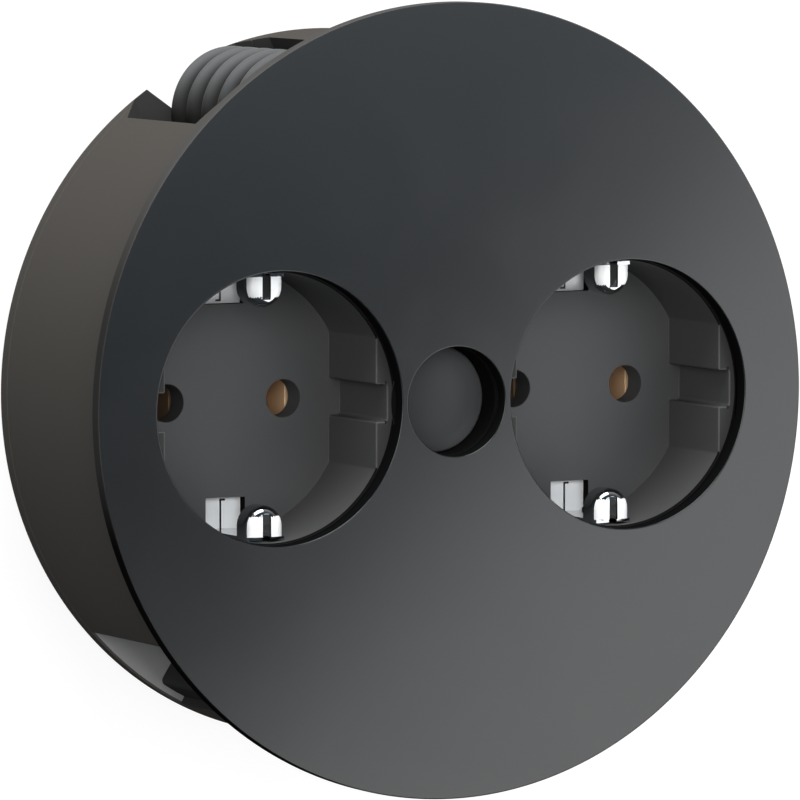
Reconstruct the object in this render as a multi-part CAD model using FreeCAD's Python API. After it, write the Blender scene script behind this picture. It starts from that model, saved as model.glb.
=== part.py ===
import FreeCAD, Part
import math
import os
from FreeCAD import Vector

# In-desk power module, lying face up on its rear face.
# Origin: centre of the rear face. +Z: out of the desk, towards the user. +Y: up in the face.
# All sizes in millimetres.

# Overall
total_height = 42.7
run_gap = 0.3              # clearance wherever a turning piece passes a fixed one
seat_gap = 0.1             # clearance between pieces that are stacked and screwed

# Turning cover
cover_margin = 5.05        # the cover's rim beyond the drum
cover_thick = 2.0
cover_edge = 0.25          # broken edge round the face
opening_r = 19.7
socket_pitch = 57.3        # between the two socket centres
centre_hole_r = 7.95
skirt_width = 1.4          # rim of the cover outside the flange
skirt_lift = 0.2           # rim stays this far above the desk
ring_thick = 0.95          # snap ring under the cover
bead_depth = 0.5
bead_height = 0.9
lug_arc = 6.0              # degrees of one stop lug
turn_range = 90.0          # degrees between open and closed
lug_angle = -45.0          # place of the first stop lug with the cover open

# Drum housing
drum_r = 52.7
drum_wall = 2.0
drum_floor = 2.5           # top of the rear plate, which closes the drum
flange_thick = 1.0
lip_depth = 0.5
lip_height = 1.9
foot_edge = 0.5            # broken edge round the rear face
bay_wall = 1.6

# Cable bay in the drum, cut into its side and open to the rear
cable_bay_angle = 115.9
cable_bay_half = 13.0
cable_bay_depth = 19.4     # from the drum's surface inward
cable_bay_top = 26.5
cable_bay_roof = 1.5
cable_bay_floor = 0.7
cable_bay_corner = 3.0
bay_chamfer = 4.0          # sloped lower corners of the cut-out
bay_chamfer_top = 4.5
slot_mouth_half = 6.7      # cable slot through the floor, at the rim
slot_throat_half = 4.4

# Claw bays, one on each side of the drum
claw_bay_angles = (217.5, 237.2)
claw_window_angles = (222.0, 242.3)
claw_bay_deep = 10.7       # from the drum's surface inward
claw_bay_top = 35.8
pillar_setback = 1.2       # the bay's end pillar stands back from the drum's surface
pillar_round = 0.8

# Ribbed cable sleeve
sleeve_angle = 112.91
sleeve_inset = 8.515       # sleeve's axis, from the drum's surface inward
sleeve_r = 9.8
sleeve_groove_r = 7.9
sleeve_pitch = 4.2
rib_count = 5
sleeve_tip_z = 2.6
sleeve_bore_r = 4.2
sleeve_neck_r = 6.2
sleeve_collar_r = 7.0
sleeve_collar = 1.5

# Socket deck: the moulding with both wells
deck_top = 39.7
deck_thick = 1.6
well_r = 19.5
well_flat = 17.0           # half distance between the flats of the key blocks
well_depth = 17.5          # from the cover's face to the well's floor
well_wall = 1.3
well_floor = 1.5
key_half = 2.7             # channel between two key blocks
key_back = 18.8
nick_depth = 1.2
nick_size = 0.6
pin_spacing = 19.0
pin_hole_r = 2.75
pin_boss_half = 4.0
pin_hole_depth = 3.8
window_half = 3.2
window_inner = 14.05
recess_depth = 6.3         # centre recess, from the cover's face
recess_wall = 1.2
ledge_width = 0.9
cap_thick = 1.2

# Earth yokes
strip = 0.5
thumb_r = 3.03
thumb_inner = 14.2         # nearest point of the spring to the well's centre
thumb_front = 4.4          # spring's front, below the cover's face
thumb_height = 8.2
thumb_slope = 1.3
thumb_slit = 0.9
riser_outer = 19.2
strap_half = 3.3

# Contacts, bars and terminals
leaf = 0.6
leaf_width = 6.0
jaw_half = 2.35            # pin axis to the leaf's inner face
jaw_pinch = 0.35
jaw_flare = 0.3
jaw_drop = 4.7             # jaws' tips below the well's floor
base_bottom = 2.8
base_plate = 2.2
base_half = 11.5
post_half = 2.2
chamber_wall = 1.2
chamber_half_x = 4.9
chamber_half_y = 5.0
bar_width = 5.0
bar_offset = 8.5
bar_thick = 0.6
earth_run = (10.5, 13.5)    # the earth bar crosses under the yokes here
neutral_lift = 3.0
cell_pitch = 6.0
cell_count = 3
terminal_x = 4.5
terminal_y = 25.0
terminal_length = 10.0
terminal_bottom = 12.0
terminal_height = 12.0
wire_half = 1.7
wire_depth = 7.0
release_slot = (4.5, 2.0)   # from the terminal's far end
rib_half = 0.4              # grooves between the terminal's cells
tail_half = 1.6             # half width of a bar's tail
tail_lift = 5.0             # tail's top above the terminal's underside
tail_reach = 4.0
tail_stop = 1.5             # the tails rise this far short of the terminal

# Cable clamp
clamp_u = 12.0
clamp_inset = 12.5         # clamp's middle, from the drum's surface inward
clamp_span = 6.4
clamp_width = 5.0
clamp_bar = 2.4
clamp_leg = 1.8
clamp_leg_inset = 1.1
tower_half = 1.9
tower_height = 6.0
cable_r = 4.0

# Fasteners
m3_r = 1.5
m3_head_r = 2.7
pilot_depth = 11.0
m4_r = 2.0
m4_head_r = 3.6
m4_head = 1.9
m4_spare = 0.02
pillar_r = 4.6
m4_length = 11.0

# Fixing claws
claw_angle = 233.0
claw_screw_inset = 7.2     # screw's axis, from the drum's surface inward
claw_hub_r = 3.0
claw_reach = 10.4
claw_trail = 1.0           # the arm is this wide behind the screw's axis
claw_tip_round = 3.4
claw_z = 12.0
claw_height = 9.0
claw_teeth = (4.2, 5.6, 7.0, 8.4)
tooth_gap = 0.7
tooth_depth = 0.5

# Sizes that follow
cover_r = drum_r + cover_margin
claw_bay_r = drum_r - claw_bay_deep
claw_screw_r = drum_r - claw_screw_inset
sleeve_x = (drum_r - sleeve_inset) * math.cos(math.radians(sleeve_angle))
sleeve_y = (drum_r - sleeve_inset) * math.sin(math.radians(sleeve_angle))
clamp_v = drum_r - clamp_inset
cover_bottom = total_height - cover_thick
groove_r = cover_r - skirt_width
flange_r = groove_r - run_gap - 0.05
flange_bottom = cover_bottom - skirt_lift
flange_top = flange_bottom + flange_thick
groove_top = flange_top + run_gap
drum_bore = drum_r - drum_wall
lip_r = drum_bore - lip_depth
lip_bottom = flange_top - lip_height
ring_out = lip_r - run_gap
ring_in = ring_out - ring_thick
bead_top = lip_bottom - run_gap
ring_bottom = bead_top - bead_height - run_gap
lug_out = drum_bore + 0.9
deck_r = ring_in - run_gap
deck_bottom = deck_top - deck_thick
half_pitch = socket_pitch / 2.0
floor_top = total_height - well_depth
floor_bottom = floor_top - well_floor
jaw_top = floor_top - jaw_drop
boss_bottom = floor_top - pin_hole_depth
recess_floor = total_height - recess_depth
cap_seat = recess_floor - cap_thick
hub_floor_top = cap_seat - m4_head - run_gap
hub_floor_bottom = hub_floor_top - well_floor
strap_top = floor_bottom - seat_gap
strap_bottom = strap_top - strip
claw_bay_roof = claw_bay_top + bay_wall
half_pin = pin_spacing / 2.0
plate_top = base_bottom + base_plate
wall_bottom = drum_floor + seat_gap
insert_r = well_r + well_wall
hub_r = centre_hole_r + recess_wall


def polar(radius, degrees):
    angle = math.radians(degrees)
    return Vector(radius * math.cos(angle), radius * math.sin(angle), 0)


def cylinder(radius, z0, z1, at=Vector(0, 0, 0)):
    return Part.makeCylinder(radius, z1 - z0, Vector(at.x, at.y, z0))


def block(x0, x1, y0, y1, z0, z1):
    return Part.makeBox(x1 - x0, y1 - y0, z1 - z0, Vector(x0, y0, z0))


def prism(points, z0, z1):
    corners = [Vector(x, y, z0) for x, y in points]
    face = Part.Face(Part.makePolygon(corners + corners[:1]))
    return face.extrude(Vector(0, 0, z1 - z0))


def turned(profile, at=Vector(0, 0, 0)):
    """Solid of revolution about a line along Z, from a closed outline of (radius, height)."""
    corners = [Vector(at.x + radius, at.y, height) for radius, height in profile]
    face = Part.Face(Part.makePolygon(corners + corners[:1]))
    return face.revolve(at, Vector(0, 0, 1), 360)


def sector(r0, r1, a0, a1, z0, z1):
    """Part of a ring between two radii and two angles."""
    middle = (a0 + a1) / 2.0
    lift = Vector(0, 0, z0)
    outer = Part.Arc(polar(r1, a0) + lift, polar(r1, middle) + lift, polar(r1, a1) + lift)
    inner = Part.Arc(polar(r0, a1) + lift, polar(r0, middle) + lift, polar(r0, a0) + lift)
    side_a = Part.LineSegment(polar(r1, a1) + lift, polar(r0, a1) + lift)
    side_b = Part.LineSegment(polar(r0, a0) + lift, polar(r1, a0) + lift)
    wire = Part.Wire([outer.toShape(), side_a.toShape(), inner.toShape(), side_b.toShape()])
    return Part.Face(wire).extrude(Vector(0, 0, z1 - z0))


def turn(shape, degrees, about=Vector(0, 0, 0)):
    copy = shape.copy()
    copy.rotate(about, Vector(0, 0, 1), degrees)
    return copy


def moved(shape, x, y, z=0.0):
    copy = shape.copy()
    copy.translate(Vector(x, y, z))
    return copy


def joined(shapes):
    return shapes[0].fuse(shapes[1:]).removeSplitter()


def screw(at, head_top, head_r, head_height, shank_r, length, countersunk):
    """Screw with a slot; its head's top is at head_top and it points down."""
    under = head_top - head_height
    outline = [(0, head_top), (head_r, head_top), (shank_r, under)]
    if not countersunk:
        outline.insert(2, (head_r, under))
    outline += [(shank_r, head_top - length), (0, head_top - length)]
    slot_width = 0.14 * head_r
    slot = block(-head_r, head_r, -slot_width, slot_width, head_top - 0.5 * head_height, head_top + 1)
    return turned(outline, at).cut(moved(slot, at.x, at.y))


# Places shared by several pieces
sleeve_at = Vector(sleeve_x, sleeve_y, 0)
claw_places = {"left": 0.0, "right": 180.0}
bay_mid = math.radians(cable_bay_angle)
bay_out = Vector(math.cos(bay_mid), math.sin(bay_mid), 0)
bay_side = Vector(math.sin(bay_mid), -math.cos(bay_mid), 0)


def bay_point(u, v):
    """Point u along the cable bay's width and v out from the drum's axis."""
    return bay_side * u + bay_out * v


clamp_at = bay_point(clamp_u, clamp_v)
clamp_turn = math.degrees(math.atan2(-bay_side.y, -bay_side.x)) + 180.0


def snap_ring():
    """Ring under the cover whose bead clips behind the drum's lip."""
    bead_r = lip_r + bead_depth - run_gap
    outline = [(ring_in, groove_top), (ring_out, groove_top), (ring_out, bead_top),
               (bead_r, bead_top), (ring_out, ring_bottom), (ring_in, ring_bottom)]
    return turned(outline)


def stop_lug(angle):
    return sector(ring_out - 0.2, lug_out - run_gap, angle - lug_arc / 2, angle + lug_arc / 2,
                  lip_bottom + 0.6, groove_top)


def cover():
    """Round plate with two socket openings, a centre hole, a rim skirt and a snap ring."""
    e = cover_edge
    outline = [(0, total_height), (cover_r - e, total_height), (cover_r, total_height - e),
               (cover_r, cover_bottom), (groove_r, cover_bottom),
               (groove_r, groove_top), (ring_in, groove_top), (ring_in, cover_bottom), (0, cover_bottom)]
    plate = joined([turned(outline), snap_ring(), stop_lug(lug_angle), stop_lug(lug_angle + 180)])
    cuts = [cylinder(centre_hole_r, ring_bottom, total_height + 1)]
    for side in (-1, 1):
        cuts.append(cylinder(opening_r, ring_bottom - 1, total_height + 1, Vector(side * half_pitch, 0, 0)))
    return plate.cut(cuts)


def drum_shell():
    """Tube with a desk flange at its mouth and a lip that holds the cover's bead."""
    outline = [(drum_bore, wall_bottom), (drum_r, wall_bottom), (drum_r, flange_bottom),
               (flange_r, flange_bottom), (flange_r, flange_top), (lip_r, flange_top), (lip_r, lip_bottom),
               (drum_bore, lip_bottom)]
    return turned(outline)


def plate_disc():
    e = foot_edge
    return turned([(0, 0), (drum_r - e, 0), (drum_r, e), (drum_r, drum_floor), (0, drum_floor)])


def cable_bay_outline(grow, v_out):
    """Corners of the cable bay in plan, grown by a wall."""
    u = cable_bay_half + grow
    v_in = drum_r - cable_bay_depth - grow
    corners = [bay_point(-u, v_in), bay_point(u, v_in), bay_point(u, v_out), bay_point(-u, v_out)]
    return [(corner.x, corner.y) for corner in corners]


def cable_bay_pocket():
    """Space of the cable bay, with rounded inner corners."""
    pocket = prism(cable_bay_outline(0, drum_r + 5), cable_bay_floor, cable_bay_top)
    v_in = drum_r - cable_bay_depth
    inner = [edge for edge in pocket.Edges if is_bay_corner(edge, v_in)]
    return pocket.makeFillet(cable_bay_corner, inner)


def is_bay_corner(edge, v_in):
    ends = [vertex.Point for vertex in edge.Vertexes]
    upright = abs(ends[0].x - ends[1].x) + abs(ends[0].y - ends[1].y) < 0.001
    return upright and abs(ends[0].dot(bay_out) - v_in) < 0.001


def cable_window():
    """Cut-out in the drum's side whose lower corners slope in, open to the rear."""
    w = cable_bay_half
    c = bay_chamfer
    low = bay_chamfer_top - c
    outline = [(-w, cable_bay_top), (-w, bay_chamfer_top), (-w + c, low), (-w + c, -1),
               (w - c, -1), (w - c, low), (w, bay_chamfer_top), (w, cable_bay_top)]
    corners = [bay_point(u, drum_bore - 4) + Vector(0, 0, z) for u, z in outline]
    face = Part.Face(Part.makePolygon(corners + corners[:1]))
    return face.extrude(bay_out * 10)


def cable_slot():
    """Slot through the floor that the mains lead leaves by."""
    u_mid = sleeve_at.dot(bay_side)
    v_mid = sleeve_at.dot(bay_out)
    mouth = [(-slot_mouth_half, drum_r + 1), (slot_mouth_half, drum_r + 1),
             (u_mid + slot_throat_half, v_mid), (u_mid - slot_throat_half, v_mid)]
    points = [bay_point(u, v) for u, v in mouth]
    wedge = prism([(point.x, point.y) for point in points], -1, drum_floor + 1)
    return joined([wedge, cylinder(slot_throat_half, -1, drum_floor + 1, sleeve_at)])


def claw_bay_body():
    """Walls round a claw bay, before the bay itself is cut."""
    a0 = claw_bay_angles[0] - 2.0
    a1 = claw_window_angles[1] + 1.5
    return sector(claw_bay_r - bay_wall, drum_bore + 0.5, a0, a1, wall_bottom, claw_bay_roof)


def claw_bay_cuts():
    """Pocket, side window and set-back pillar of a claw bay."""
    pocket = sector(claw_bay_r, drum_bore, claw_bay_angles[0], claw_bay_angles[1], drum_floor, claw_bay_top)
    window = sector(drum_bore - 0.5, drum_r + 2, claw_window_angles[0], claw_bay_angles[1],
                    drum_floor, claw_bay_top)
    face_r = drum_r - pillar_setback
    setback = sector(face_r, drum_r + 2, claw_bay_angles[1] - 0.2, claw_window_angles[1],
                     drum_floor, claw_bay_top)
    return [pocket, window, setback, pillar_corner(face_r)]


def pillar_corner(face_r):
    """Cutter that rounds the pillar's outer corner."""
    edge_angle = claw_bay_angles[1]
    centre = polar(face_r - pillar_round, edge_angle + math.degrees(pillar_round / face_r))
    square = sector(face_r - pillar_round, face_r + 0.1, edge_angle - 0.1,
                    edge_angle + math.degrees(pillar_round / face_r), drum_floor, claw_bay_top)
    return square.cut(cylinder(pillar_round, drum_floor - 1, claw_bay_top + 1, centre))


def claw_screw_hole():
    at = polar(claw_screw_r, claw_angle)
    return cylinder(m3_r + seat_gap, claw_bay_top - 1, claw_bay_roof + 1, at)


def stop_groove(angle):
    """Arc cut in the drum's lip in which one stop lug of the cover travels."""
    spare = lug_arc / 2 + math.degrees(0.5 * run_gap / lip_r)
    return sector(lip_r - 1, lug_out, angle - spare, angle + turn_range + spare, lip_bottom + run_gap,
                  flange_top + 1)


def clamp_towers():
    """Two towers on the bay's roof, each with a slot that takes a leg of the cable clamp."""
    top = cable_bay_top + cable_bay_roof
    towers = []
    slots = []
    for side in (-1, 1):
        middle = side * clamp_span
        tower = block(-clamp_width / 2, clamp_width / 2, middle - tower_half, middle + tower_half,
                      top - 0.5, top + tower_height)
        half = clamp_leg / 2 + seat_gap
        slot_half = clamp_width / 2 - 1
        slot = block(-slot_half, slot_half, middle - half, middle + half, top + 0.5, top + tower_height + 1)
        towers.append(clamp_place(tower))
        slots.append(clamp_place(slot))
    return towers, slots


def clamp_place(shape):
    return moved(turn(shape, clamp_turn), clamp_at.x, clamp_at.y)


def terminal_seat():
    half = cell_pitch * cell_count / 2.0
    middle = terminal_x + cell_pitch * (cell_count - 1) / 2.0
    return block(middle - half + 1, middle + half - 1, terminal_y + 2, terminal_y + terminal_length - 1,
                 drum_floor - 0.5, terminal_bottom)


def drum_housing():
    """Moulded drum: its wall, desk flange, cable bay, claw bays and the towers for the cable clamp."""
    roof_z = cable_bay_top + cable_bay_roof
    inner_disc = cylinder(drum_bore + 0.5, 0, total_height)
    bay_body = prism(cable_bay_outline(bay_wall, drum_r), wall_bottom, roof_z).common(inner_disc)
    adds = [drum_shell(), bay_body]
    adds += [turn(claw_bay_body(), angle) for angle in claw_places.values()]
    towers, slots = clamp_towers()
    adds += towers
    body = joined(adds)
    cuts = [cable_bay_pocket(), cable_window()]
    cuts += [cylinder(sleeve_neck_r, cable_bay_top - 1, roof_z + 1, sleeve_at)]
    for angle in claw_places.values():
        cuts += [turn(cut, angle) for cut in claw_bay_cuts() + [claw_screw_hole()]]
    cuts += [stop_groove(lug_angle), stop_groove(lug_angle + 180)]
    cuts += slots
    return body.cut(cuts).removeSplitter()


def rear_plate():
    """Plate that closes the drum, with the main screw's pillar, the terminal's seat and the cable slot."""
    pillar = cylinder(pillar_r, drum_floor - 0.5, hub_floor_bottom)
    plate = joined([plate_disc(), pillar, terminal_seat()])
    pilot = cylinder(m4_r, hub_floor_bottom - pilot_depth, hub_floor_bottom + 1)
    return plate.cut([cable_bay_pocket(), cable_window(), cable_slot(), pilot]).removeSplitter()


def well_space(z0, z1):
    """Space of one socket well at the origin: a circle with flats and a key channel each side."""
    flats = block(-well_flat, well_flat, -well_r, well_r, z0, z1)
    channel = block(-key_back, key_back, -key_half, key_half, z0, z1)
    return joined([cylinder(well_r, z0, z1).common(flats), channel.common(cylinder(well_r, z0, z1))])


def well_body():
    """Outer walls of one well, with a boss round each pin hole."""
    limit = key_back + well_wall
    flats = block(-limit, limit, -insert_r, insert_r, floor_bottom, deck_top)
    shell = cylinder(insert_r, floor_bottom, deck_top).common(flats)
    half = pin_boss_half
    bosses = [block(x - half, x + half, -half, half, boss_bottom, floor_bottom + 0.5)
              for x in (-half_pin, half_pin)]
    return joined([shell] + bosses)


def well_cuts():
    """Everything cut from one well: its space, pin holes, clip windows and nicks."""
    cuts = [well_space(floor_top, deck_top + 1)]
    for side in (-1, 1):
        pin_at = Vector(side * half_pin, 0, 0)
        cuts.append(cylinder(pin_hole_r, boss_bottom - 1, floor_top + 1, pin_at))
        window = block(-window_half, window_half, window_inner, well_r + 0.1, floor_bottom - 1, floor_top + 1)
        cuts.append(turn(window, 90 * (1 - side)))
        for end in (-1, 1):
            x = side * (key_back - nick_size / 2)
            y = end * (key_half + nick_size / 2)
            half = nick_size / 2
            cuts.append(block(x - half, x + half, y - half - 0.1, y + half + 0.1,
                              deck_top - nick_depth, deck_top + 1))
    return cuts


def well_insert(side):
    """Moulding with one socket well, held in its hole in the deck."""
    x = side * half_pitch
    body = moved(well_body(), x, 0).common(cylinder(deck_r, 0, deck_top))
    cuts = [moved(cut, x, 0) for cut in well_cuts()]
    cuts.append(cylinder(hub_r + seat_gap, floor_bottom - 1, deck_top + 1))
    return body.cut(cuts)


def centre_hub():
    """Tube between the wells that holds the centre cap and the main screw."""
    return cylinder(hub_r, hub_floor_bottom, deck_top)


def centre_cuts():
    bore = cylinder(centre_hole_r, cap_seat, deck_top + 1)
    head_room = cylinder(centre_hole_r - ledge_width, hub_floor_top, cap_seat + 1)
    hole = cylinder(m4_r + run_gap, hub_floor_bottom - 1, hub_floor_top + 1)
    return [bore, head_room, hole]


def socket_deck():
    """Deck with the centre recess, a hole for each well and the holes for its screws."""
    disc = cylinder(deck_r, deck_bottom, deck_top)
    holes = []
    for side in (-1, 1):
        limit = key_back + well_wall + seat_gap
        reach = insert_r + seat_gap
        flats = block(-limit, limit, -reach, reach, 0, total_height)
        holes.append(moved(cylinder(reach, 0, total_height).common(flats), side * half_pitch, 0))
    deck = joined([disc.cut(holes), centre_hub()])
    cuts = centre_cuts()
    sink = m3_head_r - m3_r
    for place in claw_screw_places():
        cuts.append(cylinder(m3_r + seat_gap, deck_bottom - 1, deck_top + 1, place))
        low = Vector(place.x, place.y, deck_top - sink - seat_gap)
        cuts.append(Part.makeCone(m3_r + seat_gap, m3_head_r + seat_gap + 1, sink + 1, low))
    return deck.cut(cuts)


def claw_screw_places():
    return [polar(claw_screw_r, claw_angle + angle) for angle in claw_places.values()]


def centre_cap():
    """Cap at the bottom of the centre recess, over the main screw."""
    return cylinder(centre_hole_r - seat_gap, cap_seat, recess_floor)


def thumb_plan(shrink, z0, z1):
    """Plan of one earth spring: a half circle towards the well's centre and straight sides."""
    r = thumb_r - shrink
    centre_y = thumb_inner + thumb_r
    outer_y = riser_outer - strip
    arc = Part.Arc(Vector(r, centre_y, z0), Vector(0, centre_y - r, z0), Vector(-r, centre_y, z0))
    sides = [Part.LineSegment(Vector(-r, centre_y, z0), Vector(-r, outer_y, z0)),
             Part.LineSegment(Vector(-r, outer_y, z0), Vector(r, outer_y, z0)),
             Part.LineSegment(Vector(r, outer_y, z0), Vector(r, centre_y, z0))]
    wire = Part.Wire([arc.toShape()] + [side.toShape() for side in sides])
    return Part.Face(wire).extrude(Vector(0, 0, z1 - z0))


def sloped_front(solid, z_front, width):
    """Slopes the front edge along the curved side of an earth spring."""
    outer_y = riser_outer - strip
    picked = []
    for edge in solid.Edges:
        points = [edge.valueAt(edge.FirstParameter), edge.valueAt(edge.LastParameter)]
        at_front = all(abs(point.z - z_front) < 0.001 for point in points)
        at_back = all(abs(point.y - outer_y) < 0.001 for point in points)
        if at_front and not at_back:
            picked.append(edge)
    return solid.makeChamfer(width, picked)


def earth_spring():
    """Two domed fingers with a slit between them, and the riser behind them."""
    front = total_height - thumb_front
    low = front - thumb_height
    outside = sloped_front(thumb_plan(0, low, front), front, thumb_slope)
    inside = sloped_front(thumb_plan(strip, low - 1, front - strip), front - strip, thumb_slope - strip / 2)
    half = thumb_slit / 2
    slit = block(-half, half, thumb_inner - 1, riser_outer - strip - 0.6, low - 1, front + 1)
    riser = block(-thumb_r, thumb_r, riser_outer - strip, riser_outer, strap_bottom, front)
    return joined([outside.cut([inside, slit]), riser])


def earth_yoke():
    """Earth yoke of one well: both springs and the strap behind the floor, bent from one strip."""
    upper = earth_spring()
    lower = turn(upper, 180)
    strap = block(-strap_half, strap_half, -riser_outer, riser_outer, strap_bottom, strap_top)
    corner = strap_half - thumb_r
    trims = [block(side * strap_half - corner, side * strap_half + corner, end * riser_outer - 0.8,
                   end * riser_outer + 0.8, strap_bottom - 1, strap_top + 1)
             for side in (-1, 1) for end in (-1, 1)]
    groove = block(-0.15, 0.15, window_inner + 0.4, riser_outer - strip, strap_bottom - 1, strap_top + 1)
    return joined([upper, lower, strap.cut(trims + [groove, turn(groove, 180)])])


def jaw_outline(low):
    """Cross-section of a contact jaw: a base and two leaves that pinch in and flare at the mouth."""
    pinch_z = jaw_top - 4.0
    inner = [(jaw_half, low + leaf), (jaw_half, low + leaf + 2), (jaw_half - jaw_pinch, pinch_z),
             (jaw_half + jaw_flare, jaw_top)]
    outer = [(x + leaf, z) for x, z in inner]
    right = outer[::-1]
    right[-1] = (jaw_half + leaf, low)
    left_out = [(-x, z) for x, z in right[::-1]]
    left_in = [(-x, z) for x, z in inner[::-1]]
    return inner + right + left_out + left_in


def contact(low):
    """Folded contact jaw at the origin for one plug pin."""
    corners = [Vector(x, -leaf_width / 2, z) for x, z in jaw_outline(low)]
    face = Part.Face(Part.makePolygon(corners + corners[:1]))
    return face.extrude(Vector(0, leaf_width, 0))


def contact_base():
    """Insulating base under one well, with a chamber round each contact and a post under the yoke."""
    plate = block(-well_flat, well_flat, -base_half, base_half, base_bottom, plate_top)
    walls = []
    cuts = []
    chamber_top = boss_bottom - seat_gap
    for side in (-1, 1):
        x = side * half_pin
        walls.append(block(x - chamber_half_x, x + chamber_half_x, -chamber_half_y, chamber_half_y,
                           plate_top - 0.5, chamber_top))
        inner_x = chamber_half_x - chamber_wall
        inner_y = chamber_half_y - chamber_wall
        cuts.append(block(x - inner_x, x + inner_x, -inner_y, inner_y, plate_top, chamber_top + 1))
        slot_top = plate_top + neutral_lift + bar_thick + 0.4
        slot_half = bar_width / 2 + 0.2
        reach = chamber_half_y + 1
        cuts.append(block(x - slot_half, x + slot_half, -reach, reach, plate_top, slot_top))
    half = post_half
    post = block(-half, half, -half, half, plate_top - 0.5, strap_bottom - seat_gap)
    return joined([plate] + walls).cut(cuts).fuse(post).removeSplitter()


def bar(x0, x1, y_run, z0, tail_x, tail_z):
    """Live bar: a run beside the contacts, a tab under each one and a tail up to its terminal."""
    half = bar_width / 2
    z1 = z0 + bar_thick
    end = 1 if y_run > 0 else -1
    run = block(x0 - half, x1 + half, y_run - half, y_run + half, z0, z1)
    reach = sorted((-end * leaf_width / 2, y_run))
    tabs = [block(x - half, x + half, reach[0], reach[1], z0, z1) for x in (x0, x1)]
    tail_y = terminal_y - tail_stop
    tail_sides = (tail_x - tail_half, tail_x + tail_half)
    tail = block(*tail_sides, y_run, tail_y, z0, z1)
    rise = block(*tail_sides, tail_y - bar_thick, tail_y, z0, tail_z)
    foot = block(*tail_sides, tail_y - bar_thick, terminal_y + tail_reach, tail_z - bar_thick, tail_z)
    return joined([run, tail, rise, foot] + tabs)


def cell_x(index):
    return terminal_x + cell_pitch * index


def line_bar():
    return bar(-half_pitch - half_pin, half_pitch - half_pin, bar_offset, plate_top, cell_x(0),
               terminal_bottom + tail_lift)


def neutral_bar():
    return bar(-half_pitch + half_pin, half_pitch + half_pin, -bar_offset, plate_top + neutral_lift,
               cell_x(1), terminal_bottom + tail_lift)


def earth_bar():
    """Strip that joins both yokes to the earth terminal."""
    z1 = strap_bottom
    z0 = z1 - bar_thick
    run = block(-half_pitch - strap_half, half_pitch + strap_half, earth_run[0], earth_run[1], z0, z1)
    tail_sides = (cell_x(2) - tail_half, cell_x(2) + tail_half)
    tail_y = terminal_y - tail_stop
    tail_top = terminal_bottom + tail_lift
    tail = block(*tail_sides, earth_run[1] - 0.5, tail_y, z0, z1)
    drop = block(*tail_sides, tail_y - bar_thick, tail_y, tail_top - bar_thick, z1)
    foot = block(*tail_sides, tail_y - bar_thick, terminal_y + tail_reach, tail_top - bar_thick, tail_top)
    return joined([run, tail, drop, foot])


def terminal_block():
    """Three-pole push-in terminal body with a wire hole and a release slot for each pole."""
    half = cell_pitch / 2
    top = terminal_bottom + terminal_height
    end_y = terminal_y + terminal_length
    foot = terminal_bottom + tail_lift
    body = block(cell_x(0) - half, cell_x(cell_count - 1) + half, terminal_y, end_y, terminal_bottom, top)
    cuts = []
    for index in range(cell_count):
        x = cell_x(index)
        side = wire_half
        cuts.append(block(x - side, x + side, end_y - wire_depth, end_y + 1, foot, foot + 2 * side))
        cuts.append(block(x - side, x + side, end_y - release_slot[0], end_y - release_slot[1],
                          foot + 2 * side + 1, top + 1))
        spare = tail_half + seat_gap
        cuts.append(block(x - spare, x + spare, terminal_y - 1, terminal_y + tail_reach + 2 * seat_gap,
                          foot - bar_thick - seat_gap, foot + seat_gap))
    for index in range(1, cell_count):
        x = cell_x(index) - half
        cuts.append(block(x - rib_half, x + rib_half, terminal_y - 1, end_y + 1, top - 2.0, top + 1))
    return body.cut(cuts)


def rib_outline(low):
    """Rib of the cable sleeve, as points of (radius, height)."""
    return [(sleeve_groove_r, low), (sleeve_r, low + sleeve_pitch / 2)]


def sleeve_trim(reach, z0, z1):
    """Cutter for what would stand out of the drum: flat, square to the line from the drum's axis."""
    trim = block(reach, reach + sleeve_r, -2 * sleeve_r, 2 * sleeve_r, z0, z1)
    return turn(trim, math.degrees(math.atan2(sleeve_y, sleeve_x)))


def flat_inside(radius, rib_r):
    """Distance from the drum's axis of a flat on the sleeve that stays inside a radius."""
    centre = sleeve_at.Length
    half = math.sqrt(rib_r ** 2 - (radius - centre) ** 2) + 0.3
    return math.sqrt(radius ** 2 - half ** 2)


def cable_sleeve():
    """Ribbed rubber sleeve that guides the mains lead; its outer side is flat inside the drum's surface."""
    outline = [(sleeve_bore_r, sleeve_tip_z)]
    for index in range(rib_count):
        outline += rib_outline(sleeve_tip_z + index * sleeve_pitch)
    last = sleeve_tip_z + rib_count * sleeve_pitch
    roof_z = cable_bay_top + cable_bay_roof
    top = roof_z + sleeve_collar
    outline += [(sleeve_groove_r, last), (sleeve_groove_r, cable_bay_top), (sleeve_neck_r, cable_bay_top),
                (sleeve_neck_r, roof_z), (sleeve_collar_r, roof_z), (sleeve_collar_r, top),
                (sleeve_bore_r, top)]
    low_flat = flat_inside(drum_r - seat_gap, sleeve_r)
    high_flat = flat_inside(drum_bore - seat_gap, sleeve_collar_r)
    trims = [sleeve_trim(low_flat, 0, cable_bay_top), sleeve_trim(high_flat, cable_bay_top, total_height)]
    return turned(outline, sleeve_at).cut(trims)


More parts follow.
